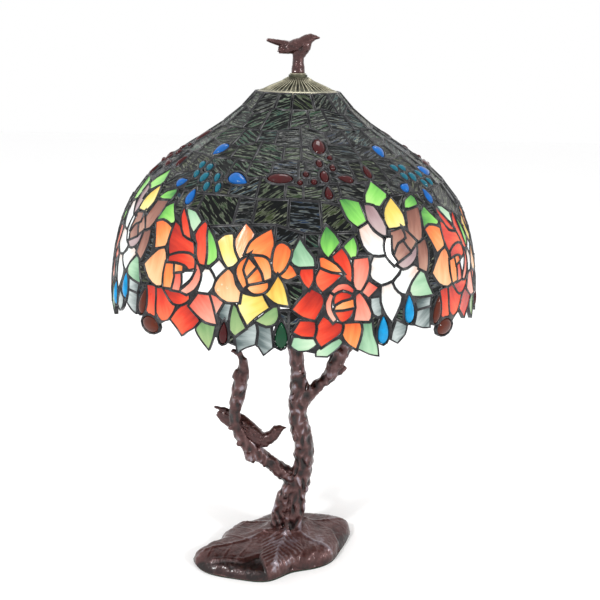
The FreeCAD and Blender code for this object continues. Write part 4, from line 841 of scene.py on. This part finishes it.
# a closed outline of radius and height, spun round the lamp's axis
def spunRing(name, profile, body, material, steps=96):
    bm = bmesh.new()
    verts = [bm.verts.new((radius * mm, 0, height * mm)) for radius, height in profile]
    edges = [bm.edges.new(pair) for pair in zip(verts, verts[1:] + verts[:1])]
    bmesh.ops.spin(bm, geom=verts + edges, cent=(0, 0, 0), axis=(0, 0, 1), angle=math.tau, steps=steps,
                   use_merge=True)
    bmesh.ops.recalc_face_normals(bm, faces=bm.faces)
    smoothFaces(bm)
    piece = finished(bm, name, body, material)
    rounding = piece.modifiers.new("rounding", "BEVEL")
    rounding.width = capSizes["rounding"]
    rounding.segments = 2
    return piece


makeCapRibs()
spunRing("capRimBand", capSizes["rim"], "shade", paleCapHighlight)
spunRing("finialBead", capSizes["bead"], "shade", paleCapHighlight, 48)
say("cap ribbed")

bulbSizes = {
    "outline": [(12.5, 84.2), (13.6, 93), (18.2, 103), (25.4, 116), (29.3, 128), (29.6, 140), (26, 152),
                (17.5, 161), (8.5, 165)],  # radius and distance from the joint, along the bulb's axis
    "steps": 32,
}


def makeBulb(joint, number):
    bm = bmesh.new()
    verts = [bm.verts.new((radius * mm, 0, along * mm)) for radius, along in bulbSizes["outline"]]
    edges = [bm.edges.new(pair) for pair in zip(verts, verts[1:])]
    bmesh.ops.spin(bm, geom=verts + edges, cent=(0, 0, 0), axis=(0, 0, 1), angle=math.tau,
                   steps=bulbSizes["steps"], use_merge=True)
    bmesh.ops.holes_fill(bm, edges=[edge for edge in bm.edges if edge.is_boundary], sides=0)
    bmesh.ops.recalc_face_normals(bm, faces=bm.faces)
    facing = Vector(joint["axis"]).to_track_quat("Z", "Y").to_matrix().to_4x4()
    bmesh.ops.transform(bm, matrix=Matrix.Translation(joint["pos_m"]) @ facing, verts=bm.verts)
    smoothFaces(bm)
    return finished(bm, "bulb%dGlass" % number, "bulb_%d" % number, frosted,
                    ["bulb_glass_%d" % number])


frosted = Finish("frostedBulb", Base_Color=ink(238, 234, 224), Roughness=0.35, Coat_Weight=0.3).material
for joint in frame["record"]["behaviour"]["joints"]:
    if joint["name"].startswith("bulb_turn"):
        makeBulb(joint, int(joint["name"][-1]))


def wear(material, *nodes):
    for node in nodes:
        for slot in frame["nodes"][node].material_slots:
            slot.material = material


brass = agedBrass("satinBrass", ink(150, 122, 66), ink(196, 164, 96), 0.2)
steel = agedBrass("platedSteel", ink(128, 128, 128), ink(176, 176, 174), 0.25)
moulded = Finish("blackMoulding", Base_Color=ink(26, 24, 24), Roughness=0.45).material
felt = Finish("greenFelt", Base_Color=ink(34, 50, 36), Roughness=0.95).material
screwMetal = Finish("screwMetal", Base_Color=ink(196, 196, 194), Roughness=0.3, Metallic=0.9).material
wear(brass, "cluster_body", "socket_arms", "socket_shells", "shade_spider", "socket_cap_1", "socket_cap_2",
     "socket_cap_3", "aperture_ring")
wear(steel, "support_rod", "trunk_lock_nut", "seat_nut", "seat_washer", "cluster_nuts", "foot_nipple",
     "foot_nut", "foot_washer")
wear(moulded, "socket_liners", "switch_key_1", "switch_key_2", "switch_key_3", "cord_bushing", "cover_plate")
wear(screwMetal, "bulb_screw_1", "bulb_screw_2", "bulb_screw_3")
wear(felt, "felt_pad")
wear(capMetal, "heat_cap")
wear(paleCapHighlight, "finial_washer")
say("fittings finished")

studio = {
    "floorWide": 12.0,
    "cameraPlace": (0, -1.105, 0.748),
    "pitch": 17.5,
    "roll": 1.19,
    "lens": 48,
    "sensor": 36,
    "shift": 0.0111667,
    "aim": (0, 0, 0.42),  # the lamp's middle
    "panels": [  # place, size and power of each soft panel
        ((-1.3, -1.4, 1.7), 0.22, 22),
        ((1.6, -1.0, 1.2), 0.22, 13),
        ((0.1, 0.7, 2.2), 0.6, 8),
    ],
}

floorMesh = bmesh.new()
bmesh.ops.create_grid(floorMesh, x_segments=1, y_segments=1, size=studio["floorWide"] / 2)
mesh = bpy.data.meshes.new("floor")
floorMesh.to_mesh(mesh)
floorMesh.free()
floor = bpy.data.objects.new("floor", mesh)
floor.data.materials.append(Finish("paleFloor", Base_Color=(0.98, 0.98, 0.98, 1), Roughness=0.8).material)
bpy.context.collection.objects.link(floor)

aim = Vector(studio["aim"])
for number, (place, wide, power) in enumerate(studio["panels"]):
    light = bpy.data.lights.new("panel%d" % number, "AREA")
    light.size = wide
    light.energy = power
    lamp = bpy.data.objects.new("panel%d" % number, light)
    lamp.location = place
    lamp.rotation_euler = (aim - Vector(place)).to_track_quat("-Z", "Y").to_euler()
    bpy.context.collection.objects.link(lamp)

sky = bpy.data.worlds.new("paleRoom")
sky.use_nodes = True
sky.node_tree.nodes["Background"].inputs["Color"].default_value = (1, 1, 1, 1)
sky.node_tree.nodes["Background"].inputs["Strength"].default_value = 1.0
bpy.context.scene.world = sky
bpy.context.scene.view_settings.view_transform = "Standard"

view = bpy.data.cameras.new("camera")
view.lens = studio["lens"]
view.sensor_width = studio["sensor"]
view.shift_x = studio["shift"]
camera = bpy.data.objects.new("camera", view)
tilt = Matrix.Rotation(math.radians(90 - studio["pitch"]), 4, "X")
roll = Matrix.Rotation(math.radians(studio["roll"]), 4, "Z")
camera.matrix_world = Matrix.Translation(studio["cameraPlace"]) @ tilt @ roll
bpy.context.collection.objects.link(camera)
bpy.context.scene.camera = camera

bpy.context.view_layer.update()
say("box written")
